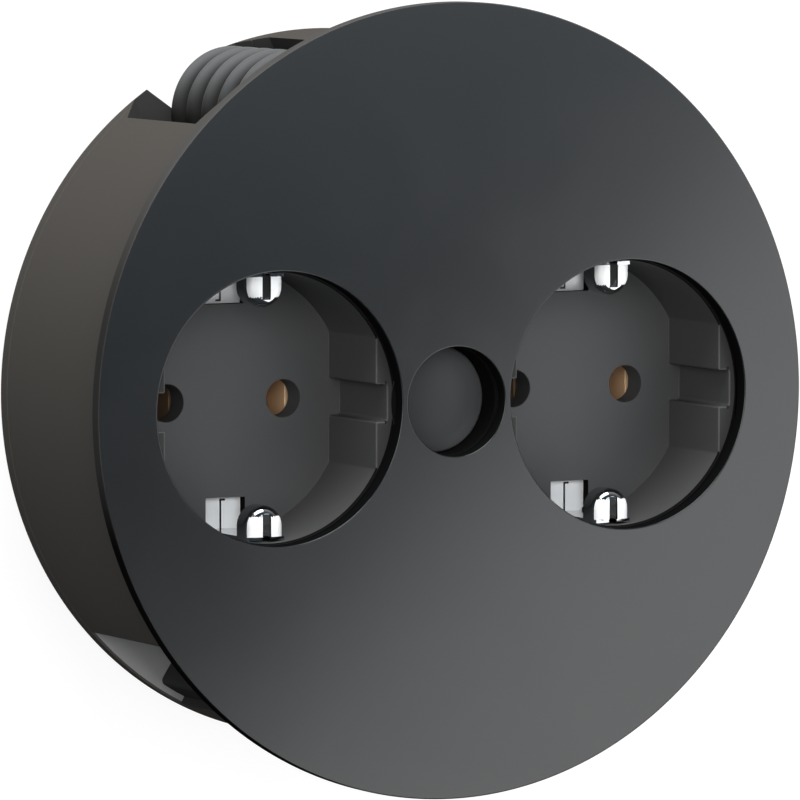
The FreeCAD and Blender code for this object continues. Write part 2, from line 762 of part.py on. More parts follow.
def cable_clamp():
    """Saddle that holds the lead down on the bay's roof; its legs press into two towers."""
    roof_z = cable_bay_top + cable_bay_roof
    low = roof_z + tower_height + seat_gap
    reach = clamp_span + tower_half
    body = block(-clamp_width / 2, clamp_width / 2, -reach, reach, low, low + clamp_bar)
    half_leg = clamp_width / 2 - clamp_leg_inset
    legs = [block(-half_leg, half_leg, side * clamp_span - clamp_leg / 2, side * clamp_span + clamp_leg / 2,
                  roof_z + 1, low + 0.5) for side in (-1, 1)]
    axis_z = low + clamp_bar - 0.9 - cable_r
    start = Vector(-clamp_width / 2 - 1, 0, axis_z)
    tunnel = Part.makeCylinder(cable_r, clamp_width + 2, start, Vector(1, 0, 0))
    return clamp_place(joined([body] + legs).cut(tunnel))


def claw():
    """Fixing claw in its parked place: a hub on the clamp screw and an arm with ribbed teeth on top."""
    z0 = claw_z
    z1 = z0 + claw_height
    hub = cylinder(claw_hub_r, z0, z1)
    arm = block(0, claw_reach, -claw_hub_r, claw_trail, z0, z1)
    ends = [edge for edge in arm.Edges if is_tip_edge(edge)]
    arm = arm.makeFillet(claw_tip_round, ends[:1])
    body = joined([hub, arm])
    teeth = [block(x, x + tooth_gap, -claw_hub_r - 1, claw_trail + 1, z1 - tooth_depth, z1 + 1)
             for x in claw_teeth]
    bore = cylinder(m3_r + 0.05, z0 - 1, z1 + 1)
    shape = body.cut(teeth + [bore])
    at = polar(claw_screw_r, claw_angle)
    return moved(turn(shape, claw_angle - 90.0), at.x, at.y)


def is_tip_edge(edge):
    ends = [vertex.Point for vertex in edge.Vertexes]
    upright = abs(ends[0].x - ends[1].x) + abs(ends[0].y - ends[1].y) < 0.001
    return upright and abs(ends[0].x - claw_reach) < 0.001 and ends[0].y < 0


def claw_screw():
    at = polar(claw_screw_r, claw_angle)
    length = deck_top - seat_gap - drum_floor - run_gap
    return screw(at, deck_top - seat_gap, m3_head_r, m3_head_r - m3_r, m3_r, length, True)


def main_screw():
    top = hub_floor_top + m4_head
    return screw(Vector(0, 0, 0), top, m4_head_r, m4_head, m4_r - m4_spare, m4_length, False)


def all_parts():
    parts = {"cover": cover(), "drum_housing": drum_housing(), "rear_plate": rear_plate(),
             "socket_deck": socket_deck(),
             "centre_cap": centre_cap(), "main_screw": main_screw(), "line_bar": line_bar(),
             "neutral_bar": neutral_bar(), "earth_bar": earth_bar(), "terminal_block": terminal_block(),
             "cable_sleeve": cable_sleeve(), "cable_clamp": cable_clamp()}
    for name, side in (("left", -1), ("right", 1)):
        x = side * half_pitch
        parts["socket_well_" + name] = well_insert(side)
        parts["earth_yoke_" + name] = moved(earth_yoke(), x, 0)
        parts["contact_base_" + name] = moved(contact_base(), x, 0)
        line_low = plate_top + bar_thick
        neutral_low = line_low + neutral_lift
        parts["line_contact_" + name] = moved(contact(line_low), x - half_pin, 0)
        parts["neutral_contact_" + name] = moved(contact(neutral_low), x + half_pin, 0)
    for name, angle in claw_places.items():
        parts["claw_" + name] = turn(claw(), angle)
        parts["claw_screw_" + name] = turn(claw_screw(), angle)
    return parts


os.makedirs("parts", exist_ok=True)
for node, shape in all_parts().items():
    if not shape.isValid() or len(shape.Solids) != 1:
        print("look at", node, "valid", shape.isValid(), "solids", len(shape.Solids))
    shape.exportStep("parts/%s.step" % node)
    print(node, "volume %.1f mm3" % shape.Volume)
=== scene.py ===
import logging
import math
from dataclasses import dataclass, field
from enum import Enum
from typing import Callable, Sequence

import bmesh
import bpy
import numpy as np
from mathutils import Matrix, Vector


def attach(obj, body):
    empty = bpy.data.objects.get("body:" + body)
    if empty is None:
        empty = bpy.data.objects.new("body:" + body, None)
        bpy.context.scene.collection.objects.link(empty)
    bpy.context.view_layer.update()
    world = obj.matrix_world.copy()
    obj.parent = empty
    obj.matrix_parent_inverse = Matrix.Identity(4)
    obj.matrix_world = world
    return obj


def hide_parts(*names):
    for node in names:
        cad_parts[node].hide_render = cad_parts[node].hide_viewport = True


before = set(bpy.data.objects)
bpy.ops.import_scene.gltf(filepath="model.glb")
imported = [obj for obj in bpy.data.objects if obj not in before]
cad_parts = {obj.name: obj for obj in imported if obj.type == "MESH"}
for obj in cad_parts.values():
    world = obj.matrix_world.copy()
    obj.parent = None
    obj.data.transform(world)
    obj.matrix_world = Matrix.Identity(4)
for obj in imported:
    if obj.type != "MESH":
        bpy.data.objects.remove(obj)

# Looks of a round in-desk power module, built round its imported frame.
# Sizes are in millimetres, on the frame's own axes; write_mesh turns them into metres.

log = logging.getLogger("power_module")
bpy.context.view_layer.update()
MM = 0.001
ROUND = 256          # points of a full circle
MERGE = 1e-6         # corners nearer than this, in metres, become one
SAME_POINT = 1e-6    # points of an outline nearer than this, in millimetres, are one
SHORTEST = 1e-9      # least length that a direction is divided by
STRAIGHT = 1e-3      # a corner's half angle stays this far, in radians, from 0 and 90 degrees
SHY = 0.002          # an eased edge ends this far under its face, so that the two don't touch
OVERCUT = 1.0        # a cutting tool runs this far past what it cuts
OVERLAP = 0.5        # an added solid starts this far inside the one that it joins
WIDE = 20.0          # reach of a tool that only has to clear the piece

# How rules pick faces for a second finish.
TOUCH = 0.01         # faces this near to a height lie at it
SPARE = 0.05         # play round a space whose faces are picked
LOOKS_UP = 0.9       # least Z of the normal of a flat face that looks up
UPRIGHT = 0.5        # a face whose normal has less Z than this is a side

# Sizes that more than one piece shares.
HALF_PITCH = 28.65   # from the drum's axis to the middle of a socket
PIN_OFFSET = 9.5     # from the middle of a socket to a pin hole
RECESS_RADIUS = 7.95  # finger recess, through the cover and the deck
DRUM_RADIUS = 52.7
DRUM_BORE = 50.7
DRUM_SKIN = 0.2      # faces farther out than the drum's radius less this belong to its outside
DECK_RADIUS = 48.65
DECK_TOP = 39.7      # face of the deck and of the wells in it
SLEEVE_AT = (-17.2, 40.7)  # axis of the sleeve and of its holes
SLEEVE_BORE = 4.2    # radius of the hole through the sleeve
BAY_CEILING = 26.5   # underside of the cable bay's roof
BAY_ROOF = 28.0      # top of that roof
NEUTRAL_LOW = 8.6    # foot of the neutral contacts, which stand higher than the line contacts


class Axis(Enum):
    """Direction in which an outline is drawn out into a solid."""

    X = "x"
    Y = "y"
    Z = "z"


class Step(Enum):
    """How a tool changes the solid that it meets."""

    CUT = "DIFFERENCE"
    ADD = "UNION"
    KEEP = "INTERSECT"


class Side(Enum):
    """Which of the two sockets a piece belongs to."""

    LEFT = -1
    RIGHT = 1

    def middle(self) -> float:
        """X of the socket's middle."""
        return self.value * HALF_PITCH

    def node(self, stem: str) -> str:
        """Name of the node with this stem on this side."""
        return stem + "_" + self.name.lower()


# Surfaces

@dataclass(frozen=True)
class Shape:
    """Closed surface: corners as an (n, 3) array, and faces as lists of corner numbers."""

    corners: np.ndarray
    faces: list

    def placed(self, at: Sequence[float] = (0.0, 0.0, 0.0), degrees: float = 0.0) -> "Shape":
        """Copy turned about the Z axis, then moved.

        Args:
            at: how far the copy moves.
            degrees: how far it turns, anticlockwise seen from above.

        Returns:
            The copy.
        """
        a = math.radians(degrees)
        turn = np.array([[math.cos(a), -math.sin(a), 0.0], [math.sin(a), math.cos(a), 0.0], [0.0, 0.0, 1.0]])
        return Shape(self.corners @ turn.T + np.array(at), self.faces)


def grid_faces(rows: int, columns: int, closed: bool = False) -> list:
    """Quads of a grid whose columns close on themselves.

    Args:
        rows: number of rows of corners.
        columns: corners in one row; corner (row, column) has the number row * columns + column.
        closed: whether the last row joins the first.

    Returns:
        Lists of four corner numbers.
    """
    row = np.arange(rows if closed else rows - 1)[:, None]
    column = np.arange(columns)[None, :]
    ahead = (column + 1) % columns
    above = (row + 1) % rows
    quads = (row * columns + column, row * columns + ahead, above * columns + ahead, above * columns + column)
    return np.stack(quads, -1).reshape(-1, 4).tolist()


def arc(radius: float, start: float, stop: float, count: int = 32,
        centre: Sequence[float] = (0.0, 0.0)) -> np.ndarray:
    """Points of an arc: centre + radius * (cos a, sin a) for evenly spaced angles a.

    Args:
        radius: radius of the arc.
        start: first angle in degrees.
        stop: last angle in degrees.
        count: number of points.
        centre: middle of the circle.

    Returns:
        Array of (x, y) rows.
    """
    angle = np.radians(np.linspace(start, stop, count))
    return np.array(centre) + radius * np.column_stack((np.cos(angle), np.sin(angle)))


def eased(points: Sequence, radii: Sequence[float] | float, steps: int = 6) -> np.ndarray:
    """Outline whose corners are arcs that touch both sides.

    With half the angle between the sides called h, an arc of radius r has its centre r / sin h along the
    bisector, and its ends r / tan h along the sides. Points between them turn evenly from one end's spoke
    to the other's, with weights sin((1 - s) w) / sin w and sin(s w) / sin w, where w is 180 degrees - 2 h.

    Args:
        points: corners in order.
        radii: one radius for all corners, or one for each; zero keeps a corner sharp.
        steps: points on each arc.

    Returns:
        Array of (x, y) rows, without doubled points.
    """
    corner = np.array(points, float)
    radius = np.broadcast_to(np.array(radii, float), len(corner))
    back = np.roll(corner, 1, 0) - corner
    ahead = np.roll(corner, -1, 0) - corner
    back = back / np.maximum(np.linalg.norm(back, axis=1, keepdims=True), SHORTEST)
    ahead = ahead / np.maximum(np.linalg.norm(ahead, axis=1, keepdims=True), SHORTEST)
    half = 0.5 * np.arccos(np.clip((back * ahead).sum(1), -1.0, 1.0))
    half = np.clip(half, STRAIGHT, np.pi / 2 - STRAIGHT)
    bisector = back + ahead
    bisector = bisector / np.maximum(np.linalg.norm(bisector, axis=1, keepdims=True), SHORTEST)
    centre = corner + bisector * (radius / np.sin(half))[:, None]
    first = corner + back * (radius / np.tan(half))[:, None] - centre
    last = corner + ahead * (radius / np.tan(half))[:, None] - centre
    sweep = (np.pi - 2.0 * half)[:, None, None]
    share = np.linspace(0.0, 1.0, steps)[None, :, None]
    spoke = np.sin((1.0 - share) * sweep) * first[:, None] + np.sin(share * sweep) * last[:, None]
    round_points = centre[:, None] + spoke / np.sin(sweep)
    points_out = np.where((radius > 0)[:, None, None], round_points, corner[:, None]).reshape(-1, 2)
    gap = np.linalg.norm(points_out - np.roll(points_out, 1, 0), axis=1)
    return points_out[gap > SAME_POINT]


def box_outline(x0: float, x1: float, y0: float, y1: float, corner: float = 0.0) -> np.ndarray:
    """Rectangle between two pairs of sides, with its corners eased by one radius."""
    return eased([(x0, y0), (x1, y0), (x1, y1), (x0, y1)], corner)


def sector_outline(r0: float, r1: float, a0: float, a1: float, count: int = 48) -> np.ndarray:
    """Part of a ring between two radii and two angles in degrees."""
    return np.vstack((arc(r1, a0, a1, count), arc(r0, a1, a0, count)))


def flatted_circle(radius: float, flat: float, count: int = 96) -> np.ndarray:
    """Circle cut off by flats at x = -flat and x = flat."""
    edge = math.degrees(math.acos(flat / radius))
    return np.vstack((arc(radius, edge, 180.0 - edge, count), arc(radius, 180.0 + edge, 360.0 - edge, count)))


def loft(outline: np.ndarray, levels: Sequence[tuple[float, float]], axis: Axis = Axis.Z) -> Shape:
    """Solid whose wall follows an outline, moved out square to itself by each level's offset.

    Corner (k, i) is outline_i + offset_k * m_i at height_k. The mitre m_i is (a + b) / (1 + a.b), where a
    and b are the outward normals of the sides before and after corner i.

    Args:
        outline: closed outline, as (x, y), as (y, z) for Axis.X or as (x, z) for Axis.Y.
        levels: (height, offset) pairs from one end of the solid to the other.
        axis: direction in which the heights run.

    Returns:
        The solid, closed by a flat face at each end.
    """
    plan = outline[:, ::-1] if axis is Axis.Y else outline
    after = np.roll(plan, -1, 0)
    if (plan[:, 0] * after[:, 1] - after[:, 0] * plan[:, 1]).sum() < 0:
        plan = plan[::-1]
        after = np.roll(plan, -1, 0)
    side = after - plan
    normal = np.column_stack((side[:, 1], -side[:, 0])) / np.linalg.norm(side, axis=1, keepdims=True)
    before = np.roll(normal, 1, 0)
    mitre = (before + normal) / (1.0 + (before * normal).sum(1))[:, None]
    height, offset = np.array(levels, float).T
    flat = plan[None] + offset[:, None, None] * mitre[None]
    raised = np.broadcast_to(height[:, None, None], flat.shape[:2] + (1,))
    corners = np.concatenate((flat, raised), 2).reshape(-1, 3)
    order = {Axis.Z: (0, 1, 2), Axis.X: (2, 0, 1), Axis.Y: (1, 2, 0)}[axis]
    count, rows = len(plan), len(height)
    ends = [list(range(count))[::-1], list(range((rows - 1) * count, rows * count))]
    return Shape(corners[:, order], grid_faces(rows, count) + ends)


def prism(outline: np.ndarray, low: float, high: float, axis: Axis = Axis.Z) -> Shape:
    """Straight solid over an outline between two heights."""
    return loft(outline, ((low, 0.0), (high, 0.0)), axis)


def block(x0: float, x1: float, y0: float, y1: float, z0: float, z1: float, corner: float = 0.0) -> Shape:
    """Box between three pairs of faces, with its upright edges eased by one radius."""
    return prism(box_outline(x0, x1, y0, y1, corner), z0, z1)


def turned(profile: Sequence, centre: Sequence[float] = (0.0, 0.0), count: int = ROUND,
           ring: bool = False) -> Shape:
    """Solid of revolution: corner (k, i) is centre + radius_k * (cos a_i, sin a_i), at height_k.

    Args:
        profile: (radius, height) points. An open profile runs from the solid's underside to its top and
            is closed by a flat face at each end; a ring's profile is closed and runs anticlockwise.
        centre: where the axis stands.
        count: corners in one turn.
        ring: whether the profile is closed.

    Returns:
        The solid.
    """
    radius, height = np.array(profile, float).T
    angle = np.linspace(0.0, 2.0 * np.pi, count, endpoint=False)
    x = centre[0] + radius[:, None] * np.cos(angle)[None]
    y = centre[1] + radius[:, None] * np.sin(angle)[None]
    z = np.broadcast_to(height[:, None], x.shape)
    faces = grid_faces(len(radius), count, ring)
    if not ring:
        rows = len(radius)
        faces += [list(range(count))[::-1], list(range((rows - 1) * count, rows * count))]
    return Shape(np.stack((x, y, z), -1).reshape(-1, 3), faces)


def cylinder(radius: float, low: float, high: float, centre: Sequence[float] = (0.0, 0.0),
             count: int = ROUND) -> Shape:
    """Straight round solid between two heights."""
    return turned([(radius, low), (radius, high)], centre, count)


def hole_cutter(radius: float, low: float, face: float, edge: float, centre: Sequence[float] = (0.0, 0.0),
                count: int = ROUND) -> Shape:
    """Tool for a round hole whose edge at a face is eased.

    Its profile rises straight, then follows a quarter circle outward: radius + edge * (1 - cos t) at
    face - SHY - edge + edge * sin t, and ends above the face.

    Args:
        radius: radius of the hole.
        low: where the tool starts, under the material.
        face: height of the face that the hole opens in.
        edge: radius of the eased edge.
        centre: middle of the hole.
        count: corners in one turn.

    Returns:
        The tool.
    """
    t = np.radians(np.linspace(0.0, 90.0, 6))
    quarter = np.column_stack((radius + edge * (1.0 - np.cos(t)), face - edge - SHY + edge * np.sin(t)))
    profile = np.vstack(([(radius, low)], quarter, [(radius + edge, face + 2.0 * OVERCUT)]))
    return turned(profile, centre, count)


def polar(radius: float, degrees: float) -> tuple[float, float]:
    """Point at a distance and an angle from the drum's axis."""
    return radius * math.cos(math.radians(degrees)), radius * math.sin(math.radians(degrees))


# Meshes

def write_mesh(name: str, shape: Shape) -> bpy.types.Mesh:
    """Mesh of a shape.

    Args:
        name: the mesh's name.
        shape: the shape, in millimetres.

    Returns:
        The mesh, in metres.
    """
    mesh = bpy.data.meshes.new(name)
    mesh.from_pydata(shape.corners * MM, [], shape.faces)
    return mesh


def put_in_scene(name: str, mesh: bpy.types.Mesh) -> bpy.types.Object:
    """New object at the origin that shows a mesh.

    Args:
        name: the object's name.
        mesh: the mesh, in metres.

    Returns:
        The object.
    """
    thing = bpy.data.objects.new(name, mesh)
    bpy.context.scene.collection.objects.link(thing)
    return thing


def carve(stock: Shape, steps: Sequence[tuple[Step, Shape]]) -> bpy.types.Mesh:
    """Mesh of a solid after each tool has been cut from it, added to it or kept with it.

    Args:
        stock: the solid to begin with.
        steps: what is done, in order.

    Returns:
        The finished mesh, in metres.
    """
    blank = put_in_scene("blank", write_mesh("blank", stock))
    tools = []
    for kind, shape in steps:
        tool = put_in_scene("tool", write_mesh("tool", shape))
        modifier = blank.modifiers.new("step", "BOOLEAN")
        modifier.operation = kind.value
        modifier.solver = "EXACT"
        modifier.object = tool
        tools.append(tool)
    depsgraph = bpy.context.evaluated_depsgraph_get()
    mesh = bpy.data.meshes.new_from_object(blank.evaluated_get(depsgraph))
    for thing in tools + [blank]:
        used = thing.data
        bpy.data.objects.remove(thing)
        bpy.data.meshes.remove(used)
    return mesh


def as_shape(mesh: bpy.types.Mesh) -> Shape:
    """Shape with a mesh's corners and faces; the mesh is freed.

    Args:
        mesh: the mesh, in metres.

    Returns:
        The shape, in millimetres.
    """
    corners = np.zeros(len(mesh.vertices) * 3)
    mesh.vertices.foreach_get("co", corners)
    faces = [list(polygon.vertices) for polygon in mesh.polygons]
    bpy.data.meshes.remove(mesh)
    return Shape(corners.reshape(-1, 3) / MM, faces)


def clean(mesh: bpy.types.Mesh, sharp: float) -> None:
    """Merges doubled corners, turns the faces out and shades round parts evenly.

    Args:
        mesh: the mesh to work on.
        sharp: edges that turn by more than this many degrees stay crisp.
    """
    work = bmesh.new()
    work.from_mesh(mesh)
    bmesh.ops.remove_doubles(work, verts=work.verts, dist=MERGE)
    bmesh.ops.dissolve_degenerate(work, edges=work.edges, dist=MERGE)
    bmesh.ops.recalc_face_normals(work, faces=work.faces)
    work.to_mesh(mesh)
    work.free()
    mesh.shade_smooth()
    mesh.set_sharp_from_angle(angle=math.radians(sharp))


# Finishes

# Sockets of a Mix node that mixes colours.
MIX_SHARE = 0
MIX_FIRST = 6
MIX_SECOND = 7
MIX_RESULT = 2


class Sheet:
    """Node tree of a material, a group or the world, with short calls to fill it."""

    def __init__(self, tree: bpy.types.NodeTree) -> None:
        """Keeps the tree."""
        self.tree = tree

    def add(self, kind: str, **settings: object) -> bpy.types.Node:
        """New node of a kind, with its own settings.

        Args:
            kind: Blender's name for the kind.
            **settings: values of the node's own properties.

        Returns:
            The node.
        """
        node = self.tree.nodes.new(kind)
        for key, value in settings.items():
            setattr(node, key, value)
        return node

    def fill(self, node: bpy.types.Node, **values: object) -> bpy.types.Node:
        """Sets inputs of a node, or links them.

        Args:
            node: the node.
            **values: a value, or the socket that feeds it, for each input; underscores stand for spaces.

        Returns:
            The same node.
        """
        for key, value in values.items():
            target = node.inputs[key.replace("_", " ")]
            if isinstance(value, bpy.types.NodeSocket):
                self.tree.links.new(value, target)
            else:
                target.default_value = value
        return node

    def spread(self, source: bpy.types.NodeSocket, low: float, high: float) -> bpy.types.NodeSocket:
        """Turns a 0 to 1 value into a span between two numbers.

        Args:
            source: the socket with the value.
            low: what 0 becomes.
            high: what 1 becomes.

        Returns:
            The socket with the result.
        """
        node = self.fill(self.add("ShaderNodeMapRange"), Value=source)
        node.inputs["To Min"].default_value = low
        node.inputs["To Max"].default_value = high
        return node.outputs["Result"]

    def blend(self, share: bpy.types.NodeSocket, first: object, second: object) -> bpy.types.NodeSocket:
        """Mixes two colours.

        Args:
            share: socket with the second colour's share, 0 to 1.
            first: the first colour, a tuple or a socket.
            second: the second colour, a tuple or a socket.

        Returns:
            The socket with the mixed colour.
        """
        node = self.add("ShaderNodeMix", data_type="RGBA")
        self.tree.links.new(share, node.inputs[MIX_SHARE])
        for target, value in ((node.inputs[MIX_FIRST], first), (node.inputs[MIX_SECOND], second)):
            if isinstance(value, bpy.types.NodeSocket):
                self.tree.links.new(value, target)
            else:
                target.default_value = (*value, 1.0)
        return node.outputs[MIX_RESULT]


def new_group(name: str, inputs: dict, outputs: Sequence[str]) -> tuple[Sheet, dict, bpy.types.Node]:
    """Empty shader node group.

    Args:
        name: the group's name.
        inputs: value of each float input by name; None makes it a vector.
        outputs: names of the float outputs.

    Returns:
        The group's sheet, its input sockets by name, and its output node.
    """
    tree = bpy.data.node_groups.new(name, "ShaderNodeTree")
    for key, value in inputs.items():
        kind = "NodeSocketVector" if value is None else "NodeSocketFloat"
        socket = tree.interface.new_socket(key, in_out="INPUT", socket_type=kind)
        if value is not None:
            socket.default_value = value
    for key in outputs:
        tree.interface.new_socket(key, in_out="OUTPUT", socket_type="NodeSocketFloat")
    sheet = Sheet(tree)
    source = sheet.add("NodeGroupInput")
    sink = sheet.add("NodeGroupOutput")
    return sheet, {key: source.outputs[key] for key in inputs}, sink


def moulding_group() -> bpy.types.NodeTree:
    """Group for moulded surfaces: a fine eroded grain, and a slow drift of tone across the moulding.

    Returns:
        The group, built once.
    """
    name = "moulding_grain"
    if name in bpy.data.node_groups:
        return bpy.data.node_groups[name]
    sheet, given, sink = new_group(name, {"Vector": None, "Grain": 4000.0, "Drift": 30.0}, ("Height", "Tone"))
    fine = sheet.add("ShaderNodeTexNoise")
    sheet.fill(fine, Vector=given["Vector"], Scale=given["Grain"], Detail=2.0, Roughness=0.6)
    slow = sheet.add("ShaderNodeTexNoise")
    sheet.fill(slow, Vector=given["Vector"], Scale=given["Drift"], Detail=3.0, Roughness=0.5)
    sheet.fill(sink, Height=fine.outputs["Fac"], Tone=slow.outputs["Fac"])
    return sheet.tree


def handling_group() -> bpy.types.NodeTree:
    """Group for handled surfaces: a mask of faint smudges.

    Returns:
        The group, built once.
    """
    name = "handling_marks"
    if name in bpy.data.node_groups:
        return bpy.data.node_groups[name]
    sheet, given, sink = new_group(name, {"Vector": None, "Size": 60.0}, ("Smudge",))
    cloud = sheet.add("ShaderNodeTexNoise")
    sheet.fill(cloud, Vector=given["Vector"], Scale=given["Size"], Detail=4.0, Distortion=0.8)
    limit = sheet.add("ShaderNodeMapRange")
    sheet.fill(limit, Value=cloud.outputs["Fac"], From_Min=0.45, From_Max=0.7)
    sheet.fill(sink, Smudge=limit.outputs["Result"])
    return sheet.tree


def painted_shade_group() -> bpy.types.NodeTree:
    """Group for painted shade: how far a point lies from a centre, as a soft 0 to 1 mask.

    Returns:
        The group, built once.
    """
    name = "soft_fade"
    if name in bpy.data.node_groups:
        return bpy.data.node_groups[name]
    given_values = {"Vector": None, "Location": None, "Scale": None, "Low": 0.0, "High": 1.0}
    sheet, given, sink = new_group(name, given_values, ("Mask",))
    mapping = sheet.add("ShaderNodeMapping")
    sheet.fill(mapping, **{key: given[key] for key in ("Vector", "Location", "Scale")})
    reach = sheet.add("ShaderNodeVectorMath", operation="LENGTH")
    sheet.fill(reach, Vector=mapping.outputs["Vector"])
    mask = sheet.add("ShaderNodeMapRange", interpolation_type="SMOOTHSTEP")
    sheet.fill(mask, Value=reach.outputs["Value"], From_Min=given["Low"], From_Max=given["High"])
    sheet.fill(sink, Mask=mask.outputs["Result"])
    return sheet.tree


@dataclass(frozen=True)
class PaintedShade:
    """Painted shade: a darker colour near a centre, standing in for shade that falls there.

    The distance is |(point - centre) * along|, in millimetres. The dark colour is full where the distance
    is low or less, and gone where it is high or more.
    """

    dark: tuple
    centre: tuple
    along: tuple
    low: float
    high: float

    def apply(self, sheet: Sheet, place: bpy.types.NodeSocket, colour: object) -> bpy.types.NodeSocket:
        """Blends the painted shade's dark colour into another colour.

        Args:
            sheet: the material's nodes.
            place: socket with the point, in metres.
            colour: the other colour, a tuple or a socket.

        Returns:
            The socket with the blended colour.
        """
        node = sheet.add("ShaderNodeGroup", node_tree=painted_shade_group())
        sheet.fill(node, Vector=place, Low=self.low, High=self.high,
                   Location=tuple(-c * a for c, a in zip(self.centre, self.along)),
                   Scale=tuple(a / MM for a in self.along))
        return sheet.blend(node.outputs["Mask"], self.dark, colour)


@dataclass(frozen=True)
class Finish:
    """Surface finish: a colour with drift, a span of roughness, and a grain in relief.

    The relief is in millimetres; grain, drift and smudge are scales of noise, per metre. The slot is the
    name of the material that it stands for, where that isn't its own name; it is not used.
    """

    name: str
    colour: tuple
    second: tuple
    roughness: tuple = (0.45, 0.55)
    specular: float = 0.5
    metallic: float = 0.0
    grain: float = 4000.0
    relief: float = 0.01
    drift: float = 30.0
    smudge: float = 60.0
    slot: str = ""
    # painted shade, blended into the colour one after another
    painted_shades: tuple = ()

    def material(self) -> bpy.types.Material:
        """Builds the material, or finds the one that was built before.

        Returns:
            The material.
        """
        name = self.name + "_look"
        if name in bpy.data.materials:
            return bpy.data.materials[name]
        made = bpy.data.materials.new(name)
        made.use_nodes = True
        sheet = Sheet(made.node_tree)
        surface = made.node_tree.nodes["Principled BSDF"]
        place = sheet.add("ShaderNodeTexCoord").outputs["Object"]
        grain = sheet.add("ShaderNodeGroup", node_tree=moulding_group())
        sheet.fill(grain, Vector=place, Grain=self.grain, Drift=self.drift)
        marks = sheet.add("ShaderNodeGroup", node_tree=handling_group())
        sheet.fill(marks, Vector=place, Size=self.smudge)
        bump = sheet.add("ShaderNodeBump")
        sheet.fill(bump, Height=grain.outputs["Height"], Distance=self.relief * MM, Strength=0.6)
        colour = sheet.blend(grain.outputs["Tone"], self.colour, self.second)
        for fade in self.painted_shades:
            colour = fade.apply(sheet, place, colour)
        sheet.fill(surface, Base_Color=colour,
                   Roughness=sheet.spread(marks.outputs["Smudge"], *self.roughness),
                   Normal=bump.outputs["Normal"], Metallic=self.metallic, Specular_IOR_Level=self.specular)
        return made


BELOW = (0.0, -60.0, 0.0)      # a point outside the face's lower edge
LEFT_OF = (-60.0, 0.0, 0.0)    # a point outside its left edge
ALONG_X = (1.0, 0.0, 0.0)
ALONG_Y = (0.0, 1.0, 0.0)
FROM_AXIS = (1.0, 1.0, 0.0)

COVER_SATIN = Finish("cover_satin", (0.0028, 0.0036, 0.0043), (0.0036, 0.0044, 0.0050), (0.24, 0.27), 0.5,
                     grain=5200.0, relief=0.002, drift=18.0, smudge=35.0)
# Painted light and shade on the cover's rim: the cover's satin with a far lighter colour, so that the rim
# looks lit towards +Y, then darkened towards -Y down to near black.
RIM_PAINTED_LIGHT_AND_SHADE = Finish("cover_rim", (0.082, 0.080, 0.077), (0.090, 0.088, 0.085), (0.60, 0.70), 0.0,
                   grain=4200.0, relief=0.004, slot="cover_satin",
                   painted_shades=(PaintedShade((0.040, 0.039, 0.038), BELOW, ALONG_Y, 72.0, 98.0),
                          PaintedShade((0.005, 0.005, 0.005), BELOW, ALONG_Y, 40.0, 54.0)))
CUT_SIDE = Finish("cut_side", (0.0050, 0.0052, 0.0055), (0.0060, 0.0062, 0.0065), (0.65, 0.75), 0.0,
                  grain=4200.0, relief=0.004, slot="cover_satin")
# Painted light and shade on the centre cap: the cover's satin with a far lighter colour, standing in for the
# sheen that the cover shows, and darker towards -X as painted shade.
CAP_PAINTED_LIGHT_AND_SHADE = Finish("cap_satin", (0.074, 0.075, 0.077), (0.080, 0.081, 0.083), (0.45, 0.50), 0.05,
                   grain=5200.0, relief=0.003, smudge=90.0, slot="cover_satin",
                   painted_shades=(PaintedShade((0.045, 0.045, 0.046), LEFT_OF, ALONG_X, 56.0, 66.0),))
DRUM_PLASTIC = Finish("drum_plastic", (0.088, 0.082, 0.075), (0.096, 0.090, 0.082), (0.60, 0.68), 0.0,
                      grain=3600.0, relief=0.008, drift=25.0)
# Painted shade: a darker copy of the drum's plastic, on the cable and claw bays' surfaces and on the wells'
# unlowered front faces.
PLASTIC_PAINTED_SHADE = Finish("bay_plastic", (0.044, 0.044, 0.043), (0.050, 0.050, 0.049), (0.60, 0.68), 0.0,
                     grain=3600.0, relief=0.008, drift=25.0, slot="drum_plastic")
# Painted light: a pale copy of the drum's plastic for the floor inside the drum, so that the claw bays' floor
# looks brightly lit.
FLOOR_PAINTED_LIGHT = Finish("inner_floor", (0.36, 0.36, 0.35), (0.42, 0.42, 0.41), (0.55, 0.65), 0.2,
                     grain=3600.0, relief=0.006, slot="drum_plastic")
WELL_PLASTIC = Finish("well_plastic", (0.078, 0.078, 0.079), (0.086, 0.086, 0.087), (0.52, 0.60), 0.15,
                      grain=3800.0, relief=0.006, drift=40.0)
# Painted shadow: a near-black copy of the wells' plastic, on the deck's face in the gap under the cover, in
# the centre recess, on the wells' fronts outside their eased edges and on the clip windows' sides.
PAINTED_SHADOW = Finish("deck_face", (0.006, 0.006, 0.006), (0.008, 0.008, 0.008), (0.70, 0.80), 0.0,
                   grain=3800.0, relief=0.006, slot="well_plastic")
BASE_PLASTIC = Finish("base_plastic", (0.40, 0.40, 0.39), (0.45, 0.45, 0.43), (0.5, 0.6), grain=3000.0)
TERMINAL_PLASTIC = Finish("terminal_plastic", (0.52, 0.51, 0.47), (0.57, 0.56, 0.52), (0.45, 0.55),
                          grain=3000.0)
SLEEVE_RUBBER = Finish("sleeve_rubber", (0.104, 0.107, 0.110), (0.116, 0.119, 0.122), (0.50, 0.60), 0.1,
                       grain=2600.0, relief=0.010, drift=60.0,
                       # Painted shade: darker in the grooves between the ribs and towards the sleeve's -Y
                       # side.
                       painted_shades=(PaintedShade((0.014, 0.014, 0.013), (*SLEEVE_AT, 0.0), FROM_AXIS, 8.1, 9.7),
                              PaintedShade((0.010, 0.010, 0.009), BELOW, ALONG_Y, 100.0, 108.0)))
